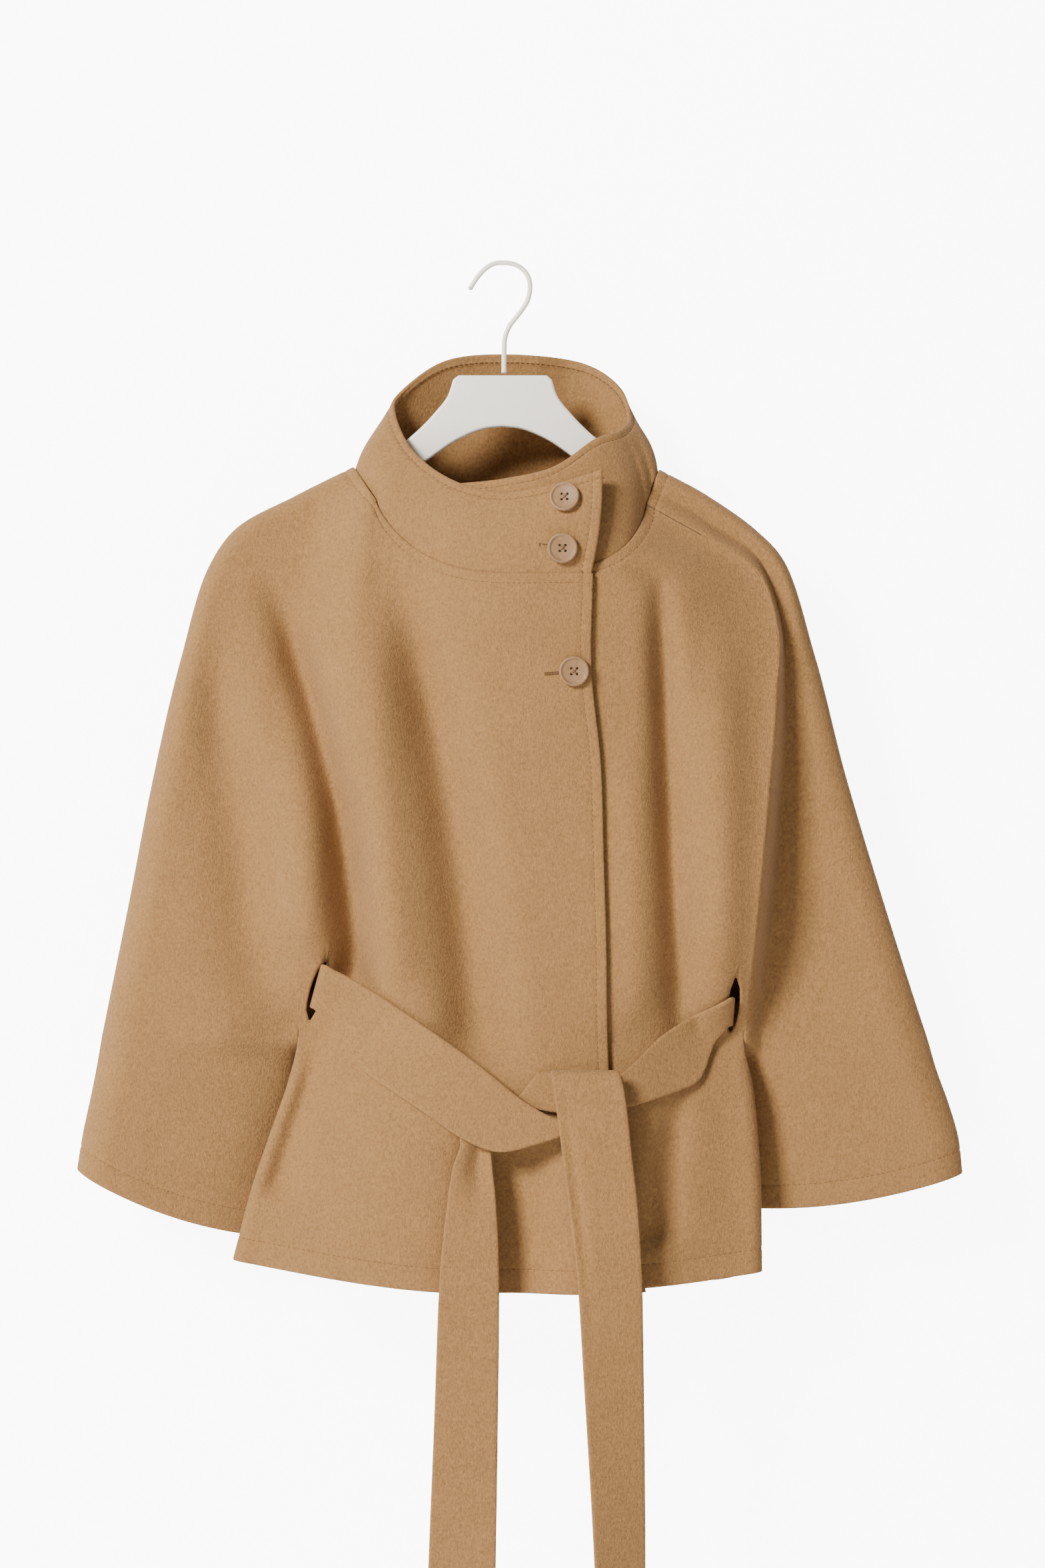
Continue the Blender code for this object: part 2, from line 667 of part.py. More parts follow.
def tail(name, data, steps):
    """A hanging end of the belt, in front of the cloth that it passes."""
    rows = []
    last = data["t"][-1]
    for step in range(steps + 1):
        t = last * step / steps
        left, right, drop, lift, turn = (read(data, column, t) for column in
                                         ("left_x", "right_x", "drop", "lift", "turn"))
        reach = [left + f * (right - left) for f in (0, 0.33, 0.67, 1)]
        front = min(lapped(x, drop) for x in reach) - lift
        rows.append([(x, front - turn * (right - x) / (right - left), drop) for x in reach])
    return strip_object(name, rows)


BELT_WRAP = table(
    "t " + BELT_COLUMNS,
    (0, 26, 601, 12, 619, BELT_LIFT + 0.6),
    (1, 38, 600, 26, 628, BELT_LIFT + 1.2),
    (2, 58, 602, 54, 632, BELT_LIFT + 2.6))


def belt_wrap():
    """The belt's turn behind the knot, seen above the left length."""
    return strip_object("belt_wrap", table_rows(BELT_WRAP, 3))


def button(name, place, facing):
    """A turned button with a raised rim, seated on the cloth and facing outwards."""
    mesh = bpy.data.meshes.new(name)
    profile = ((0.0, 0.0), (0.86, 0.0), (1.0, 0.3), (1.0, 0.72), (0.9, 1.0), (0.78, 0.8),
               (0.6, 0.62), (0.0, 0.55))
    shape = bmesh.new()
    corners = [shape.verts.new((r * BUTTON_RADIUS * MM, 0, h * BUTTON_THICK * MM))
               for r, h in profile]
    edges = [shape.edges.new(pair) for pair in zip(corners, corners[1:])]
    bmesh.ops.spin(shape, geom=corners + edges, axis=(0, 0, 1), cent=(0, 0, 0),
                   angle=2 * math.pi, steps=24, use_merge=True)
    bmesh.ops.remove_doubles(shape, verts=shape.verts, dist=1e-6)
    bmesh.ops.recalc_face_normals(shape, faces=shape.faces)
    shape.to_mesh(mesh)
    shape.free()
    piece = new_object(name, mesh, (0.50, 0.34, 0.21), 0.45)
    piece.rotation_mode = "QUATERNION"
    piece.rotation_quaternion = facing.to_track_quat("Z", "Y")
    piece.location = place
    return piece


def as_vector(point):
    """A table point as a place in metres."""
    x, y, drop = point
    return Vector((x * MM, y * MM, -drop * MM))


def collar_seat(x, drop):
    """The place of the over end's middle surface at an x and a drop, and its outward normal."""
    t, v = 0.5, 0.5
    for _ in range(30):
        at = collar_point(t, v)
        t = min(max(t - (x - at[0]) / 45, 0.0), 3.0)
        v = min(max(v + (at[2] - drop) / 70, 0.0), 1.0)
    here = as_vector(collar_point(t, v))
    side = as_vector(collar_point(t + 0.1, v)) - as_vector(collar_point(max(t - 0.1, 0), v))
    up = as_vector(collar_point(t, v + 0.05)) - as_vector(collar_point(t, v - 0.05))
    facing = side.cross(up).normalized()
    return here, facing if facing.y < 0 else -facing


def buttons():
    """Two buttons on the collar's over end and one on the over front."""
    for name, x, drop in (("button_collar_high", 46.5, 178.5), ("button_collar_low", 44.5, 215.5)):
        here, facing = collar_seat(x, drop)
        seat = (COLLAR_CLOTH / 2 + 2 * SEAM_GAP) * MM
        button(name, here + facing * seat, facing)
    seat = CLOTH / 2 + 2 * SEAM_GAP
    button("button_front", as_vector((53, stand_off(53, 306, seat), 306)), Vector((0, -1, 0)))


# The hanger's upper edge from its neck to the end of an arm, and its lower edge back
HANGER_TOP = ((0, 82.8), (33, 82.8), (37, 86), (41, 98), (51, 111), (68, 128), (92, 144.5),
              (112, 155.5), (152, 176), (180, 195), (190, 203), (197, 212))
HANGER_FOOT = ((199, 220), (195, 225), (184, 222), (150, 208), (110, 184), (80, 163), (55, 145.5),
               (32, 130), (13, 122.5), (0, 121))


def hanger_body():
    """The moulded hanger: a flat shape with a round arch under its neck and two sloping arms."""
    half = list(HANGER_TOP) + list(HANGER_FOOT)
    outline = half + [(-x, drop) for x, drop in reversed(half[1:-1])]
    curve = bpy.data.curves.new("hanger_body", "CURVE")
    curve.dimensions = "2D"
    curve.fill_mode = "BOTH"
    curve.extrude = (HANGER_HALF - 1.5) * MM
    curve.bevel_depth = 1.5 * MM
    curve.bevel_resolution = 1
    curve.offset = -1.5 * MM
    line = curve.splines.new("POLY")
    line.points.add(len(outline) - 1)
    for point, (x, drop) in zip(line.points, outline):
        point.co = (x * MM, -drop * MM, 0, 1)
    line.use_cyclic_u = True
    flat = bpy.data.objects.new("hanger_outline", curve)
    bpy.context.scene.collection.objects.link(flat)
    flat.rotation_euler = (math.radians(90), 0, 0)
    bpy.context.view_layer.update()
    shape = flat.evaluated_get(bpy.context.evaluated_depsgraph_get())
    mesh = bpy.data.meshes.new_from_object(shape)
    mesh.name = "hanger_body"
    mesh.transform(flat.matrix_world)
    bpy.data.objects.remove(flat)
    closed = bmesh.new()
    closed.from_mesh(mesh)
    bmesh.ops.remove_doubles(closed, verts=closed.verts, dist=1e-6)
    bmesh.ops.recalc_face_normals(closed, faces=closed.faces)
    closed.to_mesh(mesh)
    closed.free()
    mesh.materials.clear()
    return new_object("hanger_body", mesh, CREAM, 0.5, smooth=False)


HOOK = ((1, 82.3), (1.2, 66), (2, 54), (5, 46), (9.5, 40), (14.5, 33.5), (18.5, 27), (20.5, 19),
        (20.3, 12), (17.5, 5.5), (12.5, 1), (7, -1.3), (0.8, -1.9), (-5.6, -1.5), (-12, 1.9),
        (-18, 8), (-25, 18.5))


def hanger_hook():
    """The round wire hook, set in the hanger's top. Its arc rests on the rail at the origin."""
    curve = bpy.data.curves.new("hanger_hook", "CURVE")
    curve.dimensions = "3D"
    curve.bevel_depth = HOOK_RADIUS * MM
    curve.bevel_resolution = 2
    curve.use_fill_caps = True
    line = curve.splines.new("POLY")
    line.points.add(len(HOOK) - 1)
    for point, (x, drop) in zip(line.points, HOOK):
        point.co = (x * MM, 0, -drop * MM, 1)
    piece = bpy.data.objects.new("hanger_hook", curve)
    material = bpy.data.materials.new("hanger_hook")
    material.use_nodes = True
    shader = material.node_tree.nodes["Principled BSDF"]
    shader.inputs["Base Color"].default_value = (*CREAM, 1)
    shader.inputs["Roughness"].default_value = 0.35
    curve.materials.append(material)
    coat.objects.link(piece)
    return piece


for old in list(bpy.data.objects):
    bpy.data.objects.remove(old)
coat = bpy.data.collections.new("belted_cape_coat")
bpy.context.scene.collection.children.link(coat)
front_over()
front_under()
back()
collar()
belt_lengths()
belt_wrap()
tail("belt_tail_right", TAIL_RIGHT, 26)
tail("belt_tail_left", TAIL_LEFT, 20)
buttons()
hanger_body()
hanger_hook()
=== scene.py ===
"""A camel wool cape coat with its tie belt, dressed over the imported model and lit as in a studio.

Sizes in the tables are millimetres: `x` is across, `drop` is the depth below the hook's arc, and
`y` is the depth away from the viewer. Meshes are in metres, in the model's own frame.
"""
import math
import bmesh
import bpy
import numpy as np
from mathutils import Matrix, Vector


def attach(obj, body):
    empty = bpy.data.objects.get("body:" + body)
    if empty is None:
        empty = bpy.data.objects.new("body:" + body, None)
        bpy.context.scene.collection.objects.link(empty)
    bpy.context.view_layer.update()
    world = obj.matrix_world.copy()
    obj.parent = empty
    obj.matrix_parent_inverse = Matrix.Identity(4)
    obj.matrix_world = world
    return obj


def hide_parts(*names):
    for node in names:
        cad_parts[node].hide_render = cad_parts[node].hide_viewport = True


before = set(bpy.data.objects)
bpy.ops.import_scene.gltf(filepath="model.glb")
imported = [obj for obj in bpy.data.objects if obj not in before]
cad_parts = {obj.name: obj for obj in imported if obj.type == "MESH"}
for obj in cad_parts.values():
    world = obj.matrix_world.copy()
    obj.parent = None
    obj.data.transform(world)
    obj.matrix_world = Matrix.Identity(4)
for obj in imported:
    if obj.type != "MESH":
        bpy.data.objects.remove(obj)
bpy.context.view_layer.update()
MM = 0.001

# The camera stands level in front of the coat's middle, far enough off for a flat, calm view.
# It frames 784 mm across and 1176 mm up at the coat's plane.
FRAME_WIDTH = 0.784
LENS = 100.0
SENSOR = 36.0
VIEW_X = 0.015
VIEW_Z = -0.389
frame_height = FRAME_WIDTH * 2352 / 1568
lens = bpy.data.cameras.new("camera")
lens.sensor_fit = "VERTICAL"
lens.sensor_height = SENSOR
lens.lens = LENS
camera = bpy.data.objects.new("camera", lens)
camera.location = (VIEW_X, -frame_height * LENS / SENSOR, VIEW_Z)
camera.rotation_euler = (math.radians(90), 0, 0)
link = bpy.context.scene.collection.objects.link
link(camera)
bpy.context.scene.camera = camera

# A white painted studio wall stands close behind the coat and takes its soft shadow, and a pale
# floor lies below the belt's ends. The wall is clear from its rear, so the coat's back can be seen.
WALL_Y = 0.066
FLOOR_Z = -1.32
GLOW = 8.0


def fill(tree, node, inputs):
    """Sets a node's inputs, or links them to sockets or to nodes' first outputs."""
    for key, value in inputs.items():
        if isinstance(value, bpy.types.Node):
            value = value.outputs[0]
        if isinstance(value, bpy.types.NodeSocket):
            tree.links.new(value, node.inputs[key])
        else:
            node.inputs[key].default_value = value


def add(tree, kind, inputs=None, **settings):
    """Adds a node with its settings and inputs."""
    node = tree.nodes.new(kind)
    for key, value in settings.items():
        setattr(node, key, value)
    fill(tree, node, inputs or {})
    return node


def new_material(name, **settings):
    """A material, its node tree and its main shader."""
    material = bpy.data.materials.new(name)
    material.use_nodes = True
    shader = material.node_tree.nodes["Principled BSDF"]
    fill(material.node_tree, shader,
         {key.replace("_", " "): value for key, value in settings.items()})
    return material, material.node_tree, shader


def studio_surface(name, grey, corners):
    """A flat pale surface that shows from one side and lets all lamps past."""
    material, tree, paint = new_material(name, Base_Color=(grey, grey, grey, 1), Roughness=0.9,
                                         Specular_IOR_Level=0.2, Emission_Color=(1, 1, 1, 1))
    glow = add(tree, "ShaderNodeMath", {0: add(tree, "ShaderNodeLightPath"), 1: GLOW},
               operation="MULTIPLY")
    fill(tree, paint, {"Emission Strength": glow})
    side = add(tree, "ShaderNodeNewGeometry").outputs["Backfacing"]
    mix = add(tree, "ShaderNodeMixShader",
              {"Fac": side, 1: paint, 2: add(tree, "ShaderNodeBsdfTransparent")})
    fill(tree, tree.nodes["Material Output"], {"Surface": mix})
    mesh = bpy.data.meshes.new(name)
    mesh.from_pydata(corners, [], [(0, 1, 2, 3)])
    mesh.materials.append(material)
    piece = bpy.data.objects.new(name, mesh)
    piece.visible_shadow = False
    link(piece)


studio_surface("studio_wall", 0.90, [(-3, WALL_Y, FLOOR_Z), (3, WALL_Y, FLOOR_Z), (3, WALL_Y, 2),
                                     (-3, WALL_Y, 2)])
studio_surface("studio_floor", 0.88, [(-6, -6, FLOOR_Z), (6, -6, FLOOR_Z), (6, 6, FLOOR_Z),
                                      (-6, 6, FLOOR_Z)])

# A large soft light hangs high at the left and gives the folds their shade. A wide weak light
# fills the right, and a last one behind lights the back of the coat in rear views.
# Each lamp's place and size in metres, and its power in watts
LIGHTS = {"key_light": ((-4.1, -4.9, 2.8), 2.0, 1120), "fill_light": ((1.4, -3.0, 0.6), 2.6, 6),
          "rear_light": ((-0.9, 2.4, 1.0), 1.8, 60)}
for name, (spot, size, watts) in LIGHTS.items():
    lamp = bpy.data.lights.new(name, "AREA")
    lamp.size, lamp.energy, lamp.color = size, watts, (1.0, 0.985, 0.96)
    holder = bpy.data.objects.new(name, lamp)
    holder.location = spot
    towards = Vector((0, 0, -0.42)) - Vector(spot)
    holder.rotation_euler = towards.to_track_quat("-Z", "Y").to_euler()
    link(holder)
sky = bpy.data.worlds.new("studio")
sky.use_nodes = True
fill(sky.node_tree, sky.node_tree.nodes["Background"], {"Color": (1, 1, 1, 1), "Strength": 0.08})
bpy.context.scene.world = sky

# The back is one wide piece of heavy wool melton with both sleeves' back halves cut in one with
# it. It is seamed to the fronts over the arms, under them and down the sides.
CLOTH = 2.4
SEAM_GAP = 0.4
UNDERARM = 0.70
UNDERARM_DROP = 572
SHOULDER_ROUND = 10.0
SLEEVE_ROUND = 24.0
SIDE_ROUND = 9.0
INNER_ROUND = {"left": 115.0, "right": 60.0, "back": 60.0}
SIDE_GAP = -0.8
UNDERARM_GAP = 1.2
LAP = 2.6


def table(columns, *rows):
    """A table of named columns."""
    return dict(zip(columns.split(), np.array(rows, float).T))


def smooth_curve(keys, values, at):
    """Places on a smooth curve through numbers or rows of points."""
    slopes = np.gradient(values, keys, axis=0)
    i = np.minimum(np.searchsorted(keys, at, side="right") - 1, len(keys) - 2)
    gap = keys[i + 1] - keys[i]
    f = (at - keys[i]) / gap
    gap, f = (np.reshape(part, np.shape(part) + (1,) * (values.ndim - 1)) for part in (gap, f))
    return ((1 + 2 * f) * (1 - f) ** 2 * values[i] + f * (1 - f) ** 2 * gap * slopes[i]
            + f * f * (3 - 2 * f) * values[i + 1] + f * f * (f - 1) * gap * slopes[i + 1])


def read(data, column, at, key="t"):
    """Reads a table's column as a smooth curve."""
    return smooth_curve(data[key], data[column], np.clip(at, data[key][0], data[key][-1]))


def ramp(value):
    """Rises smoothly from 0 to 1."""
    f = np.clip(value, 0.0, 1.0)
    return f * f * (3 - 2 * f)


def cap(distance, radius):
    """The rounded turn of cloth, from 0 at its fold to 1 past the radius."""
    f = 1 - np.clip(distance / radius, 0.0, 1.0)
    return np.sqrt(1 - f * f)


# The two halves, from the neck (0) through the underarm (0.70) to the hem (1)
LEFT = table(
    "t outline_x outline_drop seam_x seam_drop tuck_x tuck_drop",
    (0, -111, 152, -94, 178, -94, 178),
    (0.08, -155, 174, -98, 222, -98, 222),
    (0.16, -200, 199, -103, 262, -103, 262),
    (0.22, -219, 226, -107, 292, -107, 292),
    (0.32, -240, 295, -115, 342, -115, 342),
    (0.46, -262, 390, -128, 415, -128, 415),
    (0.58, -279, 478, -141, 495, -141, 495),
    (0.7, -296, 562, -152, 572, -152, 572),
    (0.73, -299, 577, -153, 586, -152.5, 587),
    (0.78, -303, 600, -159, 612, -156.5, 615),
    (0.84, -308, 625, -170, 644, -162, 648),
    (0.9, -313, 648, -183, 682, -167, 680),
    (1, -318, 678, -199, 742, -174, 728))
RIGHT = table(
    "t outline_x outline_drop seam_x seam_drop tuck_x tuck_drop",
    (0, 117, 154, 107, 180, 107, 180),
    (0.08, 152, 173, 156, 208, 156, 208),
    (0.16, 190, 200, 193, 236, 193, 236),
    (0.22, 210, 222, 204, 272, 204, 272),
    (0.32, 233, 292, 202, 325, 202, 325),
    (0.46, 257, 385, 195, 405, 195, 405),
    (0.58, 284, 475, 187, 490, 187, 490),
    (0.7, 312, 563, 180, 572, 180, 572),
    (0.73, 317, 578, 180, 586, 179.5, 587),
    (0.78, 324, 602, 185, 610, 180, 611),
    (0.84, 333, 627, 188.5, 642, 178, 638),
    (0.9, 340, 650, 191, 680, 174, 665),
    (1, 344, 681, 192, 751, 170, 706))
HALVES = {"left": LEFT, "right": RIGHT}
# How far each side is moved along y, so that one front laps over the other
LAPS = {"left": -LAP, "right": LAP}

# The front edges: the over edge shows, the under edge lies hidden behind it
EDGES = table(
    "t over_x over_drop under_x under_drop back_x back_drop",
    (0, 67, 234, -30, 229, 3, 158),
    (0.16, 66, 305, -30, 300, 3, 255),
    (0.32, 73, 375, -30, 372, 3, 352),
    (0.46, 75, 440, -28, 437, 3, 430),
    (0.58, 77, 508, -26, 505, 3, 505),
    (0.7, 78, 580, -24, 577, 3, 582),
    (0.85, 84, 665, -20, 663, 3, 670),
    (1, 106, 763, -16, 758, 3, 767))

# How far forward (front) or back the cloth stands at each depth below the hook
DEPTHS = table(
    "drop front left right back back_left back_right",
    (150, 30, 10, 10, 48, 12, 12),
    (180, 42, 30, 20, 46, 30, 20),
    (234, 58, 38, 23, 42, 34, 22),
    (300, 56, 42, 33, 40, 36, 28),
    (400, 56, 44, 48, 40, 34, 30),
    (490, 56, 38, 51, 42, 20, 18),
    (530, 54, 28, 40, 42, 8, 4),
    (572, 53, 14, 24, 42, -14, -24),
    (620, 54, 24, 30, 40, -24, -30),
    (690, 58, 31, 34, 42, -31, -34),
    (770, 62, 34, 36, 46, -34, -36))
SLEEVES = table(
    "t left right back tuck_y",
    (0, 12, 12, 14, 0),
    (0.16, 13, 12, 16, 0),
    (0.32, 20, 12, 22, 0),
    (0.58, 26, 13, 28, 0),
    (0.7, 26, 13, 26, 0),
    (0.8, 24, 13, 24, 2),
    (1, 24, 14, 24, 5))

# Folds that run down the front: depth above 0 is a trough, below 0 a ridge
FOLDS = table(
    "top_x top_drop mid_x mid_drop foot_x foot_drop top_width foot_width depth",
    (-182, 216, -131, 370, -110, 572, 13, 15, 26),
    (-200, 290, -166, 400, -140, 520, 20, 20, -6),
    (-226, 240, -200, 397, -176, 566, 20, 28, 10),
    (-101, 235, -90, 400, -76, 560, 18, 18, -8),
    (-84, 200, -43, 380, -16, 625, 20, 24, 24),
    (8, 612, 10, 700, 10, 800, 32, 36, 20),
    (114, 190, 122, 360, 133, 590, 9, 13, 16),
    (93, 330, 96, 440, 98, 580, 14, 14, -4),
    (160, 250, 163, 420, 160, 590, 19, 18, -10),
    (-134, 575, -152, 625, -172, 700, 12, 15, 10),
    (132, 606, 122, 665, 116, 735, 12, 14, 9))
BACK_FOLDS = table(
    "top_x top_drop mid_x mid_drop foot_x foot_drop top_width foot_width depth",
    (-70, 210, -96, 450, -108, 790, 20, 26, 12),
    (-18, 260, -34, 500, -46, 790, 22, 30, -8),
    (40, 240, 44, 480, 40, 790, 18, 28, 11),
    (92, 230, 108, 460, 116, 790, 18, 24, -8),
    (150, 260, 156, 430, 150, 600, 14, 20, 10))


def fold_depth(folds, x, drop):
    """The depth of all folds: each follows a curve and fades at its ends."""
    total = np.zeros(np.broadcast(x, drop).shape)
    for top_x, top, mid_x, mid, foot_x, foot, narrow, wide, depth in zip(*folds.values()):
        centre = (top_x * (drop - mid) * (drop - foot) / ((top - mid) * (top - foot))
                  + mid_x * (drop - top) * (drop - foot) / ((mid - top) * (mid - foot))
                  + foot_x * (drop - top) * (drop - mid) / ((foot - top) * (foot - mid)))
        along = np.clip((drop - top) / (foot - top), 0.0, 1.0)
        width = narrow + along * (wide - narrow)
        fade = ramp(along * 3) * ramp((1 - along) * 7)
        total = total + depth * fade * np.exp(-((x - centre) / width) ** 2)
    return total


def handled(x, drop):
    """The slow unevenness of cloth worn and pressed by hand."""
    return (0.42 * np.sin(x / 31 + drop / 87 + 0.6) + 0.34 * np.sin(x / 17 - drop / 58 + 2.1)
            + 0.26 * np.sin(x / 47 + drop / 29 + 4.0))


def seam_x(side, drop):
    """The x of a half's side seam."""
    return read(side, "seam_x", drop, "seam_drop")


def split(t):
    """0 above the underarm, 1 where sleeve and body are two tubes."""
    return ramp((t - UNDERARM - 0.012) / 0.035)


def back_side(name, drop):
    """The y of the back at a side seam, which follows the front below the underarm."""
    above = read(DEPTHS, "back_" + name, np.minimum(drop, UNDERARM_DROP), "drop")
    apart = UNDERARM_GAP * ramp((drop - 530) / 30)
    apart = apart - (UNDERARM_GAP - SIDE_GAP) * ramp((drop - 590) / 30)
    below = apart - read(DEPTHS, name, drop, "drop")
    return np.where(drop <= UNDERARM_DROP, above + apart, below)


def back_depth(x, drop):
    """The y of the back over the body."""
    left, right = seam_x(LEFT, drop), seam_x(RIGHT, drop)
    middle = read(DEPTHS, "back", drop, "drop")
    q = (2 * x - left - right) / (right - left)
    side = np.where(q > 0, back_side("right", drop), back_side("left", drop))
    edge = np.maximum(np.minimum(x - left, right - x), 0.0)
    below = ramp((drop - UNDERARM_DROP) / 40)
    dome = 1 - ramp(np.abs(q) ** 1.7)
    swept = ramp((edge - 22) / 60) + 0.08 * cap(edge, SIDE_ROUND) * (1 - ramp((edge - 9) / 40))
    rise = (1 - below) * dome + below * swept
    calm = ramp((edge - 20 * below) / 40)
    uneven = fold_depth(BACK_FOLDS, x, drop) + handled(x, drop)
    return side + (middle - side) * rise + calm * uneven


def sleeve_point(name, t, s, back):
    """A point of a sleeve, from the overarm seam (s 0) to the inner seam (s 1)."""
    half = HALVES[name]
    outer_x, outer_drop = read(half, "outline_x", t), read(half, "outline_drop", t)
    inner_x, inner_drop = read(half, "tuck_x", t), read(half, "tuck_drop", t)
    x = outer_x + s * (inner_x - outer_x)
    bow = 9 * 4 * s * (1 - s) * ramp((t - 0.5) / 0.5)
    drop = outer_drop + s * (inner_drop - outer_drop) + bow
    width = np.hypot(inner_x - outer_x, inner_drop - outer_drop)
    radius = SHOULDER_ROUND + (SLEEVE_ROUND - SHOULDER_ROUND) * ramp((t - 0.1) / 0.6)
    swell = read(SLEEVES, "back" if back else name, t)
    sign = 1 if back else -1
    fall = np.full(np.shape(t), 60.0)
    if name == "right":
        fall = 60 - 44 * ramp((t - 0.45) / 0.2) if back else fall - 44
    seam_drop = read(half, "seam_drop", np.minimum(t, UNDERARM))
    side = back_side(name, seam_drop) if back else read(DEPTHS, name, seam_drop, "drop")
    fall = np.minimum(fall, width)
    reach = ramp((s * width - width + fall) / fall)
    opened = swell * cap(s * width, radius) * (1 - reach) + side * reach
    tuck = read(SLEEVES, "tuck_y", t) * ramp(s)
    inner = INNER_ROUND["back" if back else name]
    closed = swell * cap(s * width, radius) * cap((1 - s) * width, inner)
    k = split(t)
    if back:
        closed = closed + ((UNDERARM_GAP - 2 * SEAM_GAP) * ramp(s * 3 - 2)
                           * (1 - ramp((t - 0.72) / 0.08)))
    gap = SEAM_GAP * (1 - (1 - k) * ramp(s * 3))
    y = sign * (opened * (1 - k) + closed * k + gap) + k * tuck
    y = y + handled(x, drop) * ramp(s * width / 30) * ramp((1 - s) * width / 30)
    if not back:
        y = y + fold_depth(FOLDS, x, drop) * ramp(s * width / 40) * (1 - k)
    return x, y, drop


# How each panel's neckline bows below a straight line (height, skew, sharpness), and its hem
PANELS = {"back": (-9, 0.8, 1, 8), "under": (32, 0.51, 1.2, 7), "over": (30, 0.625, 1.15, 10)}


def body_point(name, panel, t, s):
    """A point of a body panel, from the side seam (s 0) to its edge (s 1)."""
    half = HALVES[name]
    side_x, side_drop = read(half, "seam_x", t), read(half, "seam_drop", t)
    edge_x, edge_drop = read(EDGES, panel + "_x", t), read(EDGES, panel + "_drop", t)
    height, skew, sharpness, hang = PANELS[panel]
    neck, hem = height * np.sin(np.pi * s ** skew) ** sharpness, hang * np.sin(np.pi * s)
    x = side_x + s * (edge_x - side_x)
    drop = side_drop + s * (edge_drop - side_drop)
    drop = drop + neck * (1 - ramp(t / 0.75)) + hem * ramp((t - 0.35) / 0.65)
    if panel == "back":
        return x, back_depth(x, drop) + LAPS[name] * ramp((t - 0.5) / 0.15) * ramp(1 - 3 * s), drop
    return x, front_depth(x, drop) + LAPS[name], drop


# Distances from the cloth's edges, in mm, at which the rows and columns lie: close together at
# the rounded edge and at the line of topstitching
NECK_STITCH = 7.7
HEM_STITCH = 17.8
EDGE_TURN = (0, 0.12, 0.45, 1.2)
NECK_ROWS = np.array((*EDGE_TURN, 3, 5.2, 6.9, NECK_STITCH, 8.5, 10, 12.5))
HEM_ROWS = np.array((*EDGE_TURN, 3, 8, 12.5, 15.6, 17, HEM_STITCH, 18.6, 20, 23))
# Sections between the neck and the hem, which the belt slots' ends are among
SLOT_SECTIONS = (0.615, 0.625, 0.635, 0.6475, 0.66, 0.6725, 0.685, 0.6925, UNDERARM)
SECTIONS = np.array([*np.linspace(0.055, 0.60, 70), *SLOT_SECTIONS, 0.704, 0.708, 0.712, 0.718,
                     0.725, 0.733, 0.742, 0.752])
PARTED = len(NECK_ROWS) + list(SECTIONS).index(UNDERARM)
ROWS_BELOW = 26


def sections_of(surface, s):
    """The sections t of a grid's points, with rows set by distance at both edges."""
    step = 0.03
    measures = []
    for t in (0.0, 1 - step):
        first = np.stack(surface(np.full(s.shape, t), s))
        second = np.stack(surface(np.full(s.shape, t + step), s))
        measures.append(step / np.linalg.norm(second - first, axis=0))
    neck = NECK_ROWS[:, None] * measures[0]
    foot = 1 - HEM_ROWS[::-1, None] * measures[1]
    level = np.repeat(SECTIONS[:, None], len(s), axis=1)
    f = np.linspace(0, 1, ROWS_BELOW)[1:-1, None]
    return np.concatenate([neck, level, SECTIONS[-1] + f * (foot[0] - SECTIONS[-1]), foot])


def points_of(surface, t, s):
    """A surface's points in metres, at sections t and places s."""
    x, y, drop = np.broadcast_arrays(*surface(t, s))
    return np.stack([x, y, -drop], axis=-1) * MM


def outward(grid, facing):
    """A grid's unit normals, on the side that faces a direction."""
    normal = np.cross(np.gradient(grid, axis=1), np.gradient(grid, axis=0))
    normal /= np.maximum(np.linalg.norm(normal, axis=-1, keepdims=True), 1e-12)
    return normal * np.sign((normal @ np.array(facing, float)).sum())


def away_from(grid, side):
    """How far a grid's points lie from one of its sides, over the cloth, in mm."""
    axis = 0 if side in ("top", "foot") else 1
    turned = np.flip(grid, axis) if side in ("foot", "last") else grid
    chords = np.linalg.norm(np.diff(turned, axis=axis), axis=-1) / MM
    pad = [(0, 0), (0, 0)]
    pad[axis] = (1, 0)
    distance = np.pad(np.cumsum(chords, axis=axis), pad)
    return np.flip(distance, axis) if side in ("foot", "last") else distance


def press_in(grid, normal, distance, line, depth=0.5, width=1.1):
    """Draws the cloth in along a line of stitches."""
    groove = depth * np.exp(-((distance - line) / width) ** 2) * MM
    return grid - normal * groove[..., None]


def place(piece, node=None):
    """Puts a piece on the model, in place of a plain solid if one is named."""
    link(piece)
    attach(piece, "root")
    if node:
        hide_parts(node)


def mesh_from(name, shape, material=None, sharp=None):
    """A smooth mesh from an edited shape, its faces turned outward."""
    bmesh.ops.recalc_face_normals(shape, faces=shape.faces)
    mesh = bpy.data.meshes.new(name)
    shape.to_mesh(mesh)
    shape.free()
    if material:
        mesh.materials.append(material)
    mesh.shade_smooth()
    if sharp:
        mesh.set_sharp_from_angle(angle=math.radians(sharp))
    return mesh


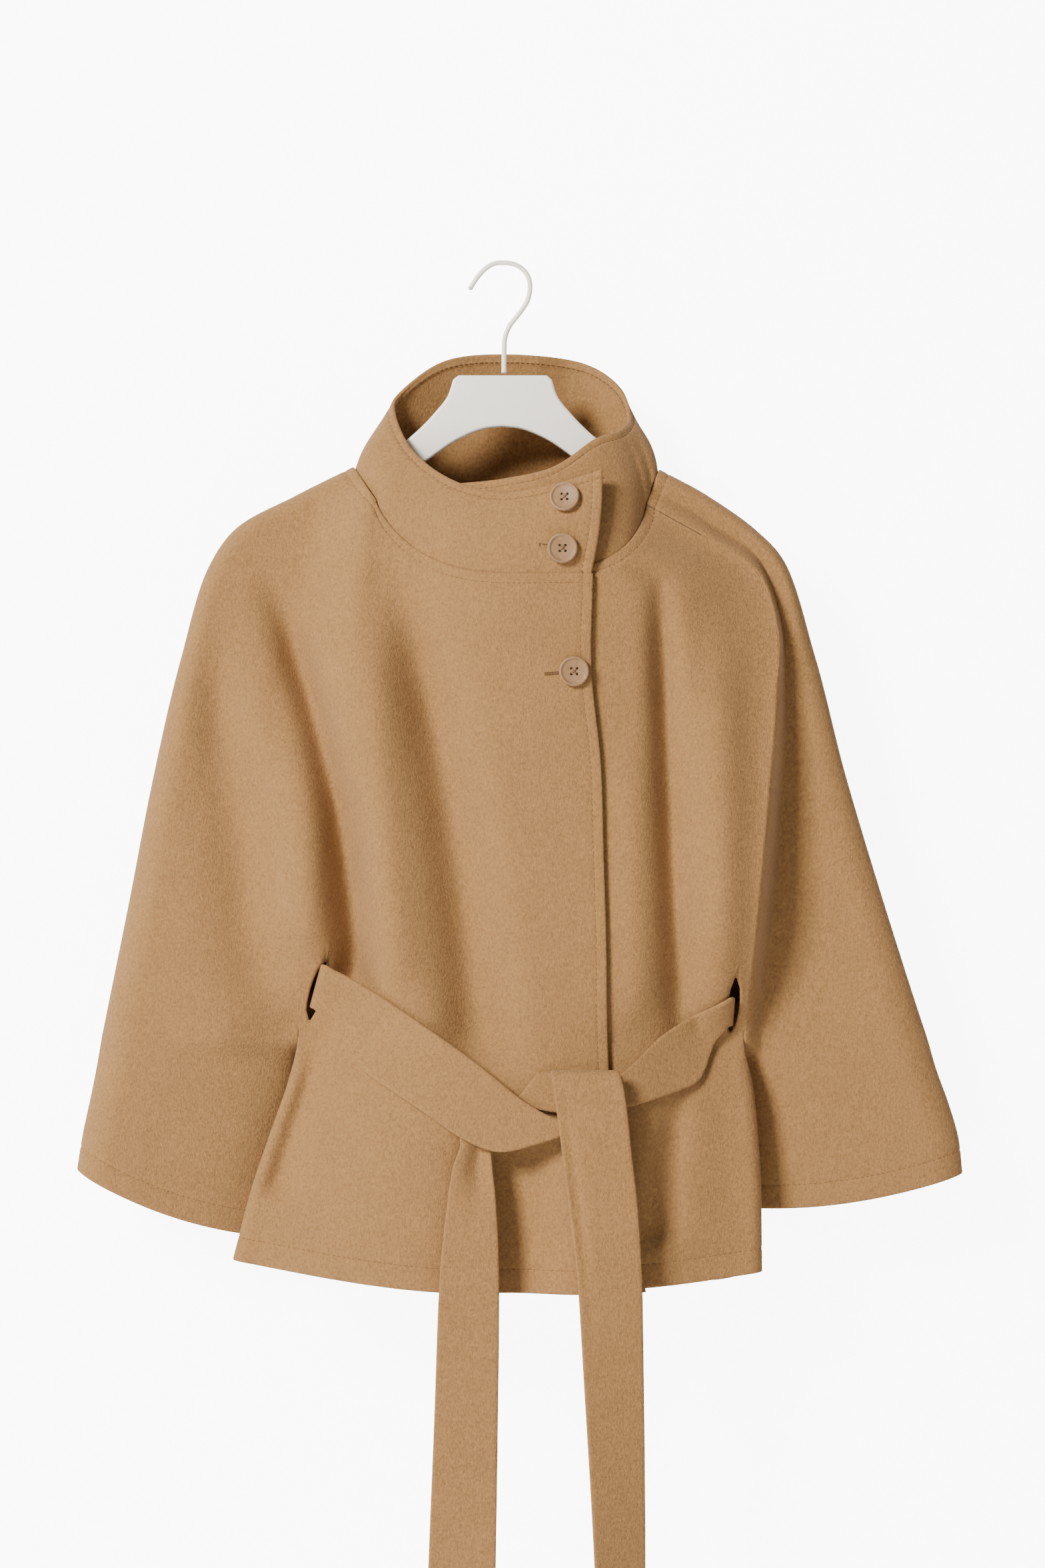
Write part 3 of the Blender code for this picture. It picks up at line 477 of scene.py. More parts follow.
def sheet_piece(name, patches, thickness, material, node):
    """Makes a wall of cloth from patches and hangs it on the model."""
    points, weights, faces = [], [], []
    total = 0
    for patch in patches:
        rows, columns = patch["grid"].shape[:2]
        number = total + np.arange(rows * columns).reshape(rows, columns)
        quads = np.stack([number[:-1, :-1], number[:-1, 1:], number[1:, 1:], number[1:, :-1]], -1)
        kept = np.ones((rows - 1, columns - 1), bool)
        if "opening" in patch:
            kept[patch["opening"]] = False
        points.append(patch["grid"].reshape(-1, 3))
        weights.append(cap(patch["edge"], thickness / 2).reshape(-1))
        faces.append(quads[kept])
        total += rows * columns
    points, weights, faces = (np.concatenate(part) for part in (points, weights, faces))
    whole = np.round(points / 1e-6).astype(np.int64)
    _, first, spot = np.unique(whole, axis=0, return_index=True, return_inverse=True)
    faces = [list(dict.fromkeys(face)) for face in spot.reshape(-1)[faces].tolist()]
    mesh = bpy.data.meshes.new(name)
    mesh.from_pydata(points[first].tolist(), [], [face for face in faces if len(face) > 2])
    shape = bmesh.new()
    shape.from_mesh(mesh)
    bpy.data.meshes.remove(mesh)
    piece = bpy.data.objects.new(name, mesh_from(name, shape, material))
    rounding = piece.vertex_groups.new(name="edge")
    for i, weight in enumerate(weights[first].tolist()):
        rounding.add([i], max(weight, 0.16), "REPLACE")
    wall = piece.modifiers.new("wall", "SOLIDIFY")
    wall.thickness = thickness * MM
    wall.offset = 0
    wall.vertex_group = "edge"
    place(piece, node)


def new_group(name, kind, inputs, outputs):
    """A node group with named inputs and outputs."""
    group = bpy.data.node_groups.new(name, kind)
    for way, sockets in (("INPUT", inputs), ("OUTPUT", outputs)):
        for label, socket in sockets.items():
            group.interface.new_socket(label, in_out=way, socket_type="NodeSocket" + socket)
    return group, group.nodes.new("NodeGroupInput").outputs, group.nodes.new("NodeGroupOutput")


def brushed_wool():
    """Shader group: the wool's slightly uneven colour, and its nap's height."""
    group, given, result = new_group(
        "brushed_wool", "ShaderNodeTree",
        {"Dye": "Color", "Nap per metre": "Float", "Nap contrast": "Float", "Clouding": "Float"},
        {"Colour": "Color", "Height": "Float"})
    at = add(group, "ShaderNodeTexCoord").outputs["Object"]
    drawn = add(group, "ShaderNodeMapping", {"Vector": at, "Scale": (1.0, 1.0, 0.3)})

    def noise(source, scale, detail):
        return add(group, "ShaderNodeTexNoise",
                   {"Vector": source, "Scale": scale, "Detail": detail, "Roughness": 0.62})

    def maths(operation, first, second):
        return add(group, "ShaderNodeMath", {0: first, 1: second}, operation=operation)

    nap = noise(at, given["Nap per metre"], 4.0)
    fibres = noise(drawn, maths("MULTIPLY", given["Nap per metre"], 2.3), 2.0)
    clouds = noise(at, 34.0, 2.0)
    height = maths("ADD", maths("MULTIPLY", nap, 0.62), maths("MULTIPLY", fibres, 0.38))
    fine = maths("MULTIPLY", maths("SUBTRACT", height, 0.5), given["Nap contrast"])
    slow = maths("MULTIPLY", maths("SUBTRACT", clouds, 0.5), given["Clouding"])
    tint = add(group, "ShaderNodeHueSaturation",
               {"Value": maths("ADD", maths("ADD", fine, slow), 1.0), "Color": given["Dye"]})
    fill(group, result, {"Colour": tint, "Height": height})
    return group


WOOL = brushed_wool()
CAMEL = (0.27, 0.140, 0.050)


def wool_material(name, dye, nap=480.0, contrast=1.6, clouding=0.14, relief=0.0018):
    """Camel melton: matt, with a low nap that catches light at a slant."""
    material, tree, shader = new_material(
        name, Roughness=0.9, Specular_IOR_Level=0.15, Sheen_Weight=0.10, Sheen_Roughness=0.5,
        Sheen_Tint=(1.0, 0.86, 0.68, 1))
    wool = add(tree, "ShaderNodeGroup", {"Dye": (*dye, 1), "Nap per metre": nap,
                                         "Nap contrast": contrast, "Clouding": clouding},
               node_tree=WOOL)
    bump = add(tree, "ShaderNodeBump", {"Strength": 0.6, "Distance": relief,
                                        "Height": wool.outputs["Height"]})
    fill(tree, shader, {"Base Color": wool, "Normal": bump})
    return material


camel_melton = wool_material("camel_melton", CAMEL)
thread_camel = wool_material("camel_thread", (0.13, 0.062, 0.022), 2600.0, 0.5, 0.0, 0.0002)


def stitch_tree():
    """Geometry Nodes: one stitch of thread at each pitch along some lines."""
    tree, given, result = new_group(
        "topstitching", "GeometryNodeTree",
        {"Lines": "Geometry", "Pitch": "Float", "Stitch length": "Float", "Thread radius": "Float",
         "Thread": "Material"}, {"Stitches": "Geometry"})
    curve = add(tree, "GeometryNodeMeshToCurve", {"Mesh": given["Lines"]})
    spaced = add(tree, "GeometryNodeResampleCurve", {"Curve": curve, "Length": given["Pitch"]},
                 mode="LENGTH")
    lay = add(tree, "GeometryNodeInputNamedAttribute", {"Name": "lay"}, data_type="FLOAT_VECTOR")
    turn = add(tree, "FunctionNodeAlignRotationToVector", {"Vector": lay}, axis="Z")
    grain = add(tree, "GeometryNodeMeshUVSphere", {"Segments": 6, "Rings": 5, "Radius": 1.0})
    half = add(tree, "ShaderNodeMath", {0: given["Stitch length"], 1: 0.5}, operation="MULTIPLY")
    size = add(tree, "ShaderNodeCombineXYZ",
               {"X": given["Thread radius"], "Y": given["Thread radius"], "Z": half})
    laid = add(tree, "GeometryNodeInstanceOnPoints",
               {"Points": spaced, "Instance": grain, "Rotation": turn, "Scale": size})
    real = add(tree, "GeometryNodeRealizeInstances", {"Geometry": laid})
    smooth = add(tree, "GeometryNodeSetShadeSmooth", {"Geometry": real})
    spun = add(tree, "GeometryNodeSetMaterial", {"Geometry": smooth, "Material": given["Thread"]})
    fill(tree, result, {"Stitches": spun})
    return tree


STITCHES = stitch_tree()


def thread_line(patch, side, distance, thickness=CLOTH, sunk=0.15):
    """The path of a line of stitches, at a distance in mm from a patch's side."""
    raised = patch["grid"] + patch["normal"] * (thickness / 2 - sunk) * MM
    away = away_from(patch["grid"], side)
    if side in ("first", "last"):
        raised, away = raised.swapaxes(0, 1), away.T
    if side in ("foot", "last"):
        raised, away = raised[::-1], away[::-1]
    return np.array([[np.interp(distance, away[:, k], raised[:, k, axis]) for axis in range(3)]
                     for k in range(away.shape[1])])


def finished(item):
    """The mesh of an object with its modifiers applied, in place of the object."""
    bpy.context.view_layer.update()
    mesh = bpy.data.meshes.new_from_object(
        item.evaluated_get(bpy.context.evaluated_depsgraph_get()))
    bpy.data.objects.remove(item)
    return mesh


def sewn(name, lines, thread, pitch=3.9, length=3.0, radius=0.34, lays=None):
    """Sews lines of stitches, each along its line unless a lay is given."""
    if lays is None:
        lays = [np.gradient(line, axis=0) for line in lines]
    ends = np.cumsum([len(line) for line in lines])
    mesh = bpy.data.meshes.new(name)
    mesh.from_pydata(np.concatenate(lines).tolist(),
                     [(i, i + 1) for i in range(ends[-1] - 1) if i + 1 not in ends], [])
    lay = mesh.attributes.new("lay", "FLOAT_VECTOR", "POINT")
    lay.data.foreach_set("vector", np.concatenate(lays).astype(np.float32).ravel())
    line_piece = bpy.data.objects.new(name + "_lines", mesh)
    link(line_piece)
    work = line_piece.modifiers.new("stitches", "NODES")
    work.node_group = STITCHES
    values = {"Pitch": pitch * MM, "Stitch length": length * MM, "Thread radius": radius * MM,
              "Thread": thread}
    for item in STITCHES.interface.items_tree:
        if item.in_out == "INPUT" and item.name in values:
            work[item.identifier] = values[item.name]
    place(bpy.data.objects.new(name, finished(line_piece)))


def finish_panel(node, patches, flat, area, rests_on, *more):
    """Makes a panel and topstitches its neckline, its hem and any other lines."""
    sheet_piece("coat_" + node, patches, CLOTH, camel_melton, node)
    sewn("stitches_" + node.split("_")[-1],
         [thread_line(patch, "foot", HEM_STITCH) for patch in patches]
         + [thread_line(patch, "top", NECK_STITCH) for patch in patches] + list(more),
         thread_camel)


def two_tubes(name, panel, body_places):
    """A sleeve's and a panel's patches, joined above the underarm, parted below."""
    back = panel == "back"

    def sleeve(t, s):
        x, y, drop = sleeve_point(name, t, s, back)
        near = ramp((t - 0.5) / 0.15) * ramp(s * 3 - 2) if back else ramp(s * 1.4)
        return x, y + LAPS[name] * near * (1 - split(t)), drop

    def body(t, s):
        return body_point(name, panel, t, s)

    # Columns lie closer together where the cloth turns at both seams
    places = 0.5 - 0.5 * np.cos(np.pi * np.arange(57) / 56)
    sleeve_t = sections_of(sleeve, places)
    body_t = sections_of(body, body_places(0.5))
    across = np.stack([body_places(t) for t in body_t.mean(axis=1)])
    sleeve_t[:PARTED, -1] = body_t[:PARTED, 0]
    sleeve_grid = points_of(sleeve, sleeve_t, places[None, :])
    body_grid = points_of(body, body_t, across)
    joined = slice(0, PARTED + 1)
    sleeve_grid[joined, -1] = body_grid[joined, 0]
    patches = []
    for grid, seam, sides in ((sleeve_grid, -1, ("top", "foot", "first")),
                              (body_grid, 0, ("top", "foot", *([] if back else ["last"])))):
        normal = outward(grid, (0, 1 if back else -1, 0))
        edge = np.min([away_from(grid, side) for side in sides], axis=0)
        parting = away_from(grid, "last" if seam else "first")
        parting[joined] = 99
        patches.append({"grid": grid, "normal": normal, "edge": np.minimum(edge, parting)})
    both = patches[0]["normal"][joined, -1] + patches[1]["normal"][joined, 0]
    both /= np.linalg.norm(both, axis=-1, keepdims=True)
    patches[0]["normal"][joined, -1] = both
    patches[1]["normal"][joined, 0] = both
    for patch in patches:
        for side, line in (("top", NECK_STITCH), ("foot", HEM_STITCH)):
            away = away_from(patch["grid"], side)
            patch["grid"] = press_in(patch["grid"], patch["normal"], away, line)
    return patches


def even_places(t):
    """Places across half of the back, closer together at the seam."""
    return np.linspace(0, 1, 62) ** 1.45


back_halves = two_tubes("left", "back", even_places) + two_tubes("right", "back", even_places)
finish_panel("back", back_halves, (0.82, 0.66), 0.36, "hanger_body")

# The wearer's left front lies underneath. It is melton too, cut in one with its sleeve's front
# half, and its side has a slot for the belt, with both lips turned in.
SLOT_HALF = 3.5
LIP_SPREAD = 1.6
SLOTS = {
    "left": {"first": 0.615, "last": 0.685, "top_in": 13.5, "foot_in": 7.5},
    "right": {"first": 0.635, "last": UNDERARM, "top_in": 10.5, "foot_in": 10.5},
}
SIDE_STEPS = np.array((0, 0.015, 0.05, 0.11, 0.2, 0.32, 0.47, 0.65, 0.84, 1))
EDGE_STITCH = 7.8
EDGE_COLUMNS = np.array((*EDGE_TURN, 3, 5.4, 7, EDGE_STITCH, 8.6, 10, 12.5))
COLUMNS_BETWEEN = 76
# The range of fold depths that meets a thing lying on the fronts, and one lying behind them
RIDGES = (-99, 0)
TROUGHS = (0, 99)


def front_depth(x, drop, kept=(-99, 99)):
    """The y of the fronts' shared surface, with the folds kept in a range."""
    left, right = seam_x(LEFT, drop), seam_x(RIGHT, drop)
    middle = read(DEPTHS, "front", drop, "drop")
    q = (2 * x - left - right) / (right - left)
    side = np.where(q > 0, read(DEPTHS, "right", drop, "drop"), read(DEPTHS, "left", drop, "drop"))
    dome = 1 - ramp(np.abs(q) ** 1.7)
    edge = np.minimum(x - left, right - x)
    below = ramp((drop - UNDERARM_DROP) / 40)
    calm = 1 - below * (1 - ramp((edge + 4) / 24))
    turn = 7 * cap(edge, SIDE_ROUND) * below
    folds = np.clip(calm * fold_depth(FOLDS, x, drop), *kept)
    return -side - (middle - side) * dome - turn + folds + handled(x, drop) * ramp(edge / 30)


def down_slot(name, t):
    """How far down a slot a section lies, from 0 to 1."""
    slot = SLOTS[name]
    return np.clip((t - slot["first"]) / (slot["last"] - slot["first"]), 0.0, 1.0)


def slot_inset(name, t):
    """How far a slot's middle line lies inside the side seam."""
    top, foot = SLOTS[name]["top_in"], SLOTS[name]["foot_in"]
    return top + down_slot(name, t) * (foot - top)


def front_places(name, panel):
    """Gives a section's places across a front: seam, slot's lips, then to the edge."""
    def places(t):
        width = abs(read(EDGES, panel + "_x", t) - read(HALVES[name], "seam_x", t))
        pointed = np.maximum(np.sin(np.pi * down_slot(name, t)), 0.0) ** 0.5 * 0.86 + 0.14
        half_open = SLOT_HALF * pointed
        lip = slot_inset(name, t) - LIP_SPREAD * half_open
        gap = lip + (1 + LIP_SPREAD) * half_open * np.array((1, 2, 3)) / 3
        between = np.linspace(gap[-1], width - EDGE_COLUMNS[-1], COLUMNS_BETWEEN)[1:-1]
        return np.concatenate([lip * SIDE_STEPS, gap, between, width - EDGE_COLUMNS[::-1]]) / width
    return places


def front(name, panel):
    """One front's two patches, with the slot left open in the body's."""
    patches = two_tubes(name, panel, front_places(name, panel))
    levels = [len(NECK_ROWS) + list(SECTIONS).index(SLOTS[name][end]) for end in ("first", "last")]
    lips = len(SIDE_STEPS) - 1, len(SIDE_STEPS) + 2
    for lip in lips:
        patches[1]["edge"][levels[0]:levels[1] + 1, lip] = 0
    patches[1]["opening"] = (slice(*levels), slice(*lips))
    return patches


finish_panel("front_under", front("right", "under"), (0.43, 0.66), 0.18, "hanger_body")

# The wearer's right front laps over the other. Its edge is faced and topstitched from the neck
# seam to the hem, and the lowest button closes it through a worked buttonhole.
over_patches = front("left", "over")
over_body = over_patches[1]
over_body["grid"] = press_in(over_body["grid"], over_body["normal"],
                             away_from(over_body["grid"], "last"), EDGE_STITCH, 0.35)
finish_panel("front_over", over_patches, (0.47, 0.66), 0.21, "front_under",
             thread_line(over_body, "last", EDGE_STITCH))

# The funnel collar is one doubled band of melton. It is sewn into the neckline, turned and
# topstitched along its rim and its over end, and laps over itself at the front.
COLLAR_CLOTH = 3.4
FOOT_TUCK = (2.6, 1.8)
COLLAR_STITCH = 6.2
ALL_SIDES = ("top", "foot", "first", "last")
# The collar, from its over end round the neck to its under end: where its foot meets the neckline
# (the over front up to 5, the back, and the under front from 11 on), and its rim
COLLAR = table(
    "t foot_x rim_x rim_y rim_drop",
    (0, 66.5, 74, -55, 157),
    (1, 25, 37, -51, 168),
    (2, -12, -2, -46, 173.5),
    (3, -57, -38, -37, 163),
    (4, -92, -66, -21, 141),
    (5, -111, -80, 2, 112),
    (6, -92, -77, 23, 93),
    (7, -48, -44, 37, 68),
    (8, 3, 4, 42, 62.5),
    (9, 54, 58, 37, 69),
    (10, 97, 86, 23, 87),
    (11, 117, 94, 6, 112),
    (12, 105, 87, -17, 125),
    (13, 82, 68, -31, 133),
    (14, 38, 38, -40, 154),
    (15, 0, 0, -39, 163),
    (16, -28, -34, -31, 166))


def neck_edge(t):
    """The neckline point that the collar's foot meets."""
    x = min(max(read(COLLAR, "foot_x", t), LEFT["outline_x"][0]), RIGHT["outline_x"][0])
    panel = "over" if t <= 5 else "back" if t < 11 else "under"
    at_left = t <= 5 or (x < EDGES["back_x"][0] and t < 12)
    name = "left" if at_left else "right"
    seam, outer = HALVES[name]["seam_x"][0], HALVES[name]["outline_x"][0]
    if (x - seam) * (outer - seam) > 0:
        return sleeve_point(name, 0, (x - outer) / (seam - outer), panel == "back")
    return body_point(name, panel, 0, (x - seam) / (EDGES[panel + "_x"][0] - seam))


def collar_patch():
    """The collar: rows from foot to rim, columns from the over end round."""
    end_steps = np.array((*EDGE_TURN, 3, 5.5, 7.2, 8.2, 9.2, 11)) / 45
    t = np.concatenate([end_steps, np.linspace(0.32, 15.7, 210), 16 - end_steps[::-1]])
    foot = np.array([neck_edge(at) for at in t], float)
    rim = np.stack([read(COLLAR, "rim_" + axis, t) for axis in ("x", "y", "drop")], axis=-1)
    height = np.linalg.norm(rim - foot, axis=-1)
    near_rim = np.array((13, 10, 8, 7, COLLAR_STITCH, 5.4, 4, 2.4, *EDGE_TURN[::-1]))
    near_foot = np.array((*EDGE_TURN, 3, 6))
    middle = np.linspace(0, 1, 22)[1:-1, None]
    low, high = near_foot[-1] / height, 1 - near_rim[0] / height
    v = np.concatenate([near_foot[:, None] / height, low + middle * (high - low),
                        1 - near_rim[:, None] / height])
    point = foot + v[..., None] * (rim - foot)
    out = np.stack([point[..., 0] - 3, point[..., 1] * 1.6], axis=-1)
    out /= np.linalg.norm(out, axis=-1, keepdims=True)
    swell = 4 * np.sin(np.pi * v) - FOOT_TUCK[1] * (1 - v) ** 3
    point = point + np.concatenate([swell[..., None] * out, FOOT_TUCK[0] * (1 - v[..., None]) ** 3],
                                   axis=-1)
    grid = point * (MM, MM, -MM)
    normal = outward(grid, (0, 0, 0.01))
    normal = normal * np.sign((normal[..., :2] * out).sum())
    edge = np.min([away_from(grid, side) for side in ALL_SIDES], axis=0)
    grid = press_in(grid, normal, away_from(grid, "foot"), COLLAR_STITCH, 0.6)
    grid = press_in(grid, normal, away_from(grid, "first"), EDGE_STITCH, 0.5)
    return {"grid": grid, "normal": normal, "edge": edge}


collar = collar_patch()
sheet_piece("coat_collar", [collar], COLLAR_CLOTH, camel_melton, "collar")
inside = {"grid": collar["grid"], "normal": -collar["normal"]}
sewn("stitches_collar", [thread_line(collar, "foot", COLLAR_STITCH, COLLAR_CLOTH),
                         thread_line(inside, "foot", COLLAR_STITCH, COLLAR_CLOTH, -0.3),
                         thread_line(collar, "first", EDGE_STITCH, COLLAR_CLOTH)], thread_camel)

# The buttons are turned horn-look resin with a raised rim, a shallow dish and four holes. Each is
# sewn on with crossed camel thread, and fastens through a worked buttonhole that shows beside it.
BUTTON_RADIUS = 11.25
BUTTON_THICK = 3.6
HOLE_RADIUS = 1.0
HOLE_PLACE = 2.05


def cloudy(tree, scale, low, high, inputs, places=(0.0, 1.0)):
    """A noise over the piece, and the ramp of colours that it gives."""
    noise = add(tree, "ShaderNodeTexNoise",
                {"Vector": add(tree, "ShaderNodeTexCoord").outputs["Object"], "Scale": scale,
                 **inputs})
    tone = add(tree, "ShaderNodeValToRGB", {"Fac": noise})
    for stop, place_on, colour in zip(tone.color_ramp.elements, places, (low, high)):
        stop.position = place_on
        stop.color = (*colour, 1)
    return noise, tone


def horn_material():
    """Satin camel-coloured resin with faint clouded streaks."""
    material, tree, shader = new_material("horn_resin", Specular_IOR_Level=0.3)
    _, tone = cloudy(tree, 150.0, (0.225, 0.122, 0.054), (0.275, 0.155, 0.072),
                     {"Detail": 4.0, "Distortion": 1.5}, (0.3, 0.72))
    wear = add(tree, "ShaderNodeTexNoise",
               {"Vector": add(tree, "ShaderNodeTexCoord").outputs["Object"], "Scale": 900.0})
    polish = add(tree, "ShaderNodeMapRange", {"Value": wear, "To Min": 0.42, "To Max": 0.58})
    fill(tree, shader, {"Base Color": tone, "Roughness": polish})
    return material


def seat_of(node):
    """Where a button's solid sits on its cloth, and the way it faces."""
    corners = np.array([vertex.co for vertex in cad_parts[node].data.vertices])
    middle = (corners.min(axis=0) + corners.max(axis=0)) / 2
    _, _, axes = np.linalg.svd(np.unique(np.round(corners, 6), axis=0) - middle)
    facing = axes[2] * -np.sign(axes[2][1])
    along = (corners - middle) @ facing
    return middle + facing * along.min(), facing


def turned_button(name, node, material):
    """A lathe-turned button with four drilled holes."""
    seat, facing = seat_of(node)
    profile = ((0.0, 0.0), (0.80, 0.0), (0.93, 0.10), (0.99, 0.30), (1.0, 0.52), (0.985, 0.76),
               (0.945, 0.93), (0.89, 1.0), (0.84, 0.96), (0.80, 0.84), (0.765, 0.74), (0.70, 0.70),
               (0.55, 0.66), (0.36, 0.60), (0.30, 0.56), (0.0, 0.55))
    shape = bmesh.new()
    corners = [shape.verts.new((r * BUTTON_RADIUS * MM, 0, h * BUTTON_THICK * MM))
               for r, h in profile]
    edges = [shape.edges.new(pair) for pair in zip(corners, corners[1:])]
    bmesh.ops.spin(shape, geom=corners + edges, axis=(0, 0, 1), cent=(0, 0, 0),
                   angle=2 * math.pi, steps=72, use_merge=True)
    bmesh.ops.remove_doubles(shape, verts=shape.verts, dist=1e-6)
    blank = bpy.data.objects.new(name + "_blank", mesh_from(name, shape))
    drills = bmesh.new()
    holes = [(a * HOLE_PLACE, b * HOLE_PLACE) for a, b in ((1, 1), (1, -1), (-1, -1), (-1, 1))]
    for x, y in holes:
        made = bmesh.ops.create_cone(drills, cap_ends=True, segments=20, radius1=HOLE_RADIUS * MM,
                                     radius2=HOLE_RADIUS * MM, depth=4 * BUTTON_THICK * MM)
        bmesh.ops.translate(drills, verts=made["verts"], vec=(x * MM, y * MM, 0))
    drill_mesh = bpy.data.meshes.new(name + "_drill")
    drills.to_mesh(drill_mesh)
    drills.free()
    drill = bpy.data.objects.new(name + "_drill", drill_mesh)
    for item in (blank, drill):
        link(item)
    cut = blank.modifiers.new("holes", "BOOLEAN")
    cut.operation = "DIFFERENCE"
    cut.object = drill
    mesh = finished(blank)
    bpy.data.objects.remove(drill)
    turn = Vector(facing).to_track_quat("Z", "Y").to_matrix().to_4x4()
    turn.translation = seat
    mesh.transform(turn)
    mesh.materials.clear()
    mesh.materials.append(material)
    mesh.shade_smooth()
    mesh.set_sharp_from_angle(angle=math.radians(38))
    place(bpy.data.objects.new(name, mesh), node)
    top = 0.60 * BUTTON_THICK
    points = [turn @ Vector((x * MM, y * MM, top * MM)) for x, y in holes]
    return [(points[0], points[2]), (points[1], points[3])]


def skin(shape, stations, around):
    """A closed round bar through stations: a middle and a ring's two radii each."""
    previous = None
    for middle, side, out in stations:
        ring = [shape.verts.new(middle + math.cos(a) * side + math.sin(a) * out)
                for a in (2 * math.pi * i / around for i in range(around))]
        if previous:
            for i in range(around):
                shape.faces.new((previous[i], previous[i - 1], ring[i - 1], ring[i]))
        else:
            shape.faces.new(ring)
        previous = ring
    shape.faces.new(reversed(previous))


def strands(name, pairs, thread, radius=0.42, rings=9):
    """Threads drawn from hole to hole, each bowed up a little."""
    shape = bmesh.new()
    out = Vector((0, -1, 0))
    for start, end in pairs:
        side = (end - start).normalized().cross(out).normalized()
        stations = []
        for f in (k / (rings - 1) for k in range(rings)):
            middle = start + (end - start) * f + out * (math.sin(math.pi * f) * 0.8 - 0.5) * MM
            size = radius * MM * (0.35 + 0.65 * math.sin(math.pi * min(max(f, 0.08), 0.92)) ** 0.5)
            stations.append((middle, size * side, size * out))
        skin(shape, stations, 8)
    place(bpy.data.objects.new(name, mesh_from(name, shape, thread)))


horn_resin = horn_material()
# Thread for the buttons, also laid down the buttonholes' slits as painted shade
thread_and_slit_shade = wool_material("button_thread_and_painted_slit_shade", (0.16, 0.085, 0.04), 2600.0, 0.4, 0.0, 0.0002)
crossings = []
for level in ("collar_high", "collar_low", "front"):
    crossings += turned_button("horn_button_" + level, "button_" + level, horn_resin)
strands("button_thread", crossings, thread_and_slit_shade)


def nearest_on(patch, x, drop):
    """A patch's outer surface at a place seen from the front, and its normal."""
    gap = np.hypot(patch["grid"][..., 0] - x * MM, patch["grid"][..., 2] + drop * MM)
    gap = gap + (patch["normal"][..., 1] > 0) * 1.0
    at = np.unravel_index(np.argmin(gap), gap.shape)
    normal = patch["normal"][at]
    return np.array((x * MM, patch["grid"][at][1], -drop * MM)), normal


def buttonhole(name, patch, start, end, thickness, count=24):
    """Two lips of close satin stitches, with a line of darker thread between them as painted shade
    in the slit.
    """
    lines, lays = [], []
    for side in (-1, 1):
        line, lay = [], []
        for f in (k / (count - 1) for k in range(count)):
            x, drop = (a + f * (b - a) for a, b in zip(start, end))
            spot, normal = nearest_on(patch, x, drop + side * 0.75)
            line.append(spot + normal * (thickness / 2 + 0.02) * MM)
            lay.append((0.0, -normal[2], 1.0))
        lines.append(np.array(line))
        lays.append(np.array(lay))
    sewn(name + "_lips", lines, thread_camel, 0.62, 1.35, 0.3, lays)
    # No slit is cut: a darker thread line down the middle stands in for its shade, as painted shade
    slit = np.mean(lines, axis=0) + np.array((0, -0.06, 0)) * MM
    sewn(name + "_slit", [slit], thread_and_slit_shade, 0.5, 1.4, 0.34)


buttonhole("buttonhole_front", over_body, (31.5, 308), (44, 307), CLOTH)
buttonhole("buttonhole_collar", collar, (27.5, 213), (36, 214), COLLAR_CLOTH)

# The tie belt is a bagged-out tube of the same melton, 50 mm wide and pressed flat. It comes out
# through each front's slot, crosses over at the front and is tied once, and its ends hang down.
BELT_CLOTH = 3.0
BELT_LIFT = 3.05
TURN_RADIUS = 3.9
BELT_WIDTH = 50
belt_melton = wool_material("belt_melton", CAMEL)
# Each length's upper and lower edge, and how far it lifts off the cloth past lying on it
BELT_COLUMNS = "top_x top_drop foot_x foot_drop lift"
BELT_LEFT = table(
    "t " + BELT_COLUMNS,
    (0, -114, 532, -130, 577, 0.6),
    (1, -82, 551, -104, 600, 0.8),
    (2, -30, 586, -58, 630, 3.6),
    (3, -6, 604, -28, 650, 5.0),
    (4, 14, 620, -2, 659, 5.4),
    (5, 32, 631, 26, 653, 6.4),
    (6, 48, 637, 48, 646, 7.0))
BELT_RIGHT = table(
    "t " + BELT_COLUMNS,
    (0, 154, 555, 157, 583, 1.4),
    (1, 136, 564, 146, 608, 1.4),
    (2, 116, 577, 126, 617, 2.0),
    (3, 98, 594, 107, 623, 4.4),
    (4, 84, 604, 90, 627, 6.4),
    (5, 64, 609, 64, 629, 7.4))
# This length lies behind the fronts, so its lift is below 0 and counts from their middle
BELT_INSIDE = table(
    "t " + BELT_COLUMNS,
    (0, -112, 525, -123, 565, -3.55),
    (1, -70, 534, -74, 582, -15),
    (2, -10, 548, -10, 597, -18),
    (3, 50, 553, 50, 602, -18),
    (4, 110, 548, 110, 594, -18),
    (5, 151, 538, 153, 576, -3.55))
BELT_WRAP = table(
    "t " + BELT_COLUMNS,
    (0, 26, 601, 12, 619, 0.6),
    (1, 38, 600, 26, 628, 1.2),
    (2, 58, 602, 54, 632, 2.6))


def lapped(x, drop, kept=RIDGES):
    """The y of the fronts' middle surface under something that lies on it."""
    step = ramp((x - read(EDGES, "over_x", drop, "over_drop")) / 6)
    return front_depth(x, np.minimum(drop, 762), kept) - LAP + 2 * LAP * step


def stand_off(x, drop, lift):
    """The y of what lies before the fronts, or behind them with a lift below 0."""
    ahead, behind = ((lapped(x, drop, kept),
                      (lapped(x + 2, drop, kept) - lapped(x - 2, drop, kept)) / 4)
                     for kept in (RIDGES, TROUGHS))
    y, slope = (np.where(lift > 0, a, b) for a, b in zip(ahead, behind))
    return y - lift * np.sqrt(1 + slope * slope)


EDGE_STEPS = np.array((*EDGE_TURN, 3, 6)) / BELT_WIDTH
ACROSS = np.concatenate([EDGE_STEPS, np.linspace(0.18, 0.82, 15), 1 - EDGE_STEPS[::-1]])


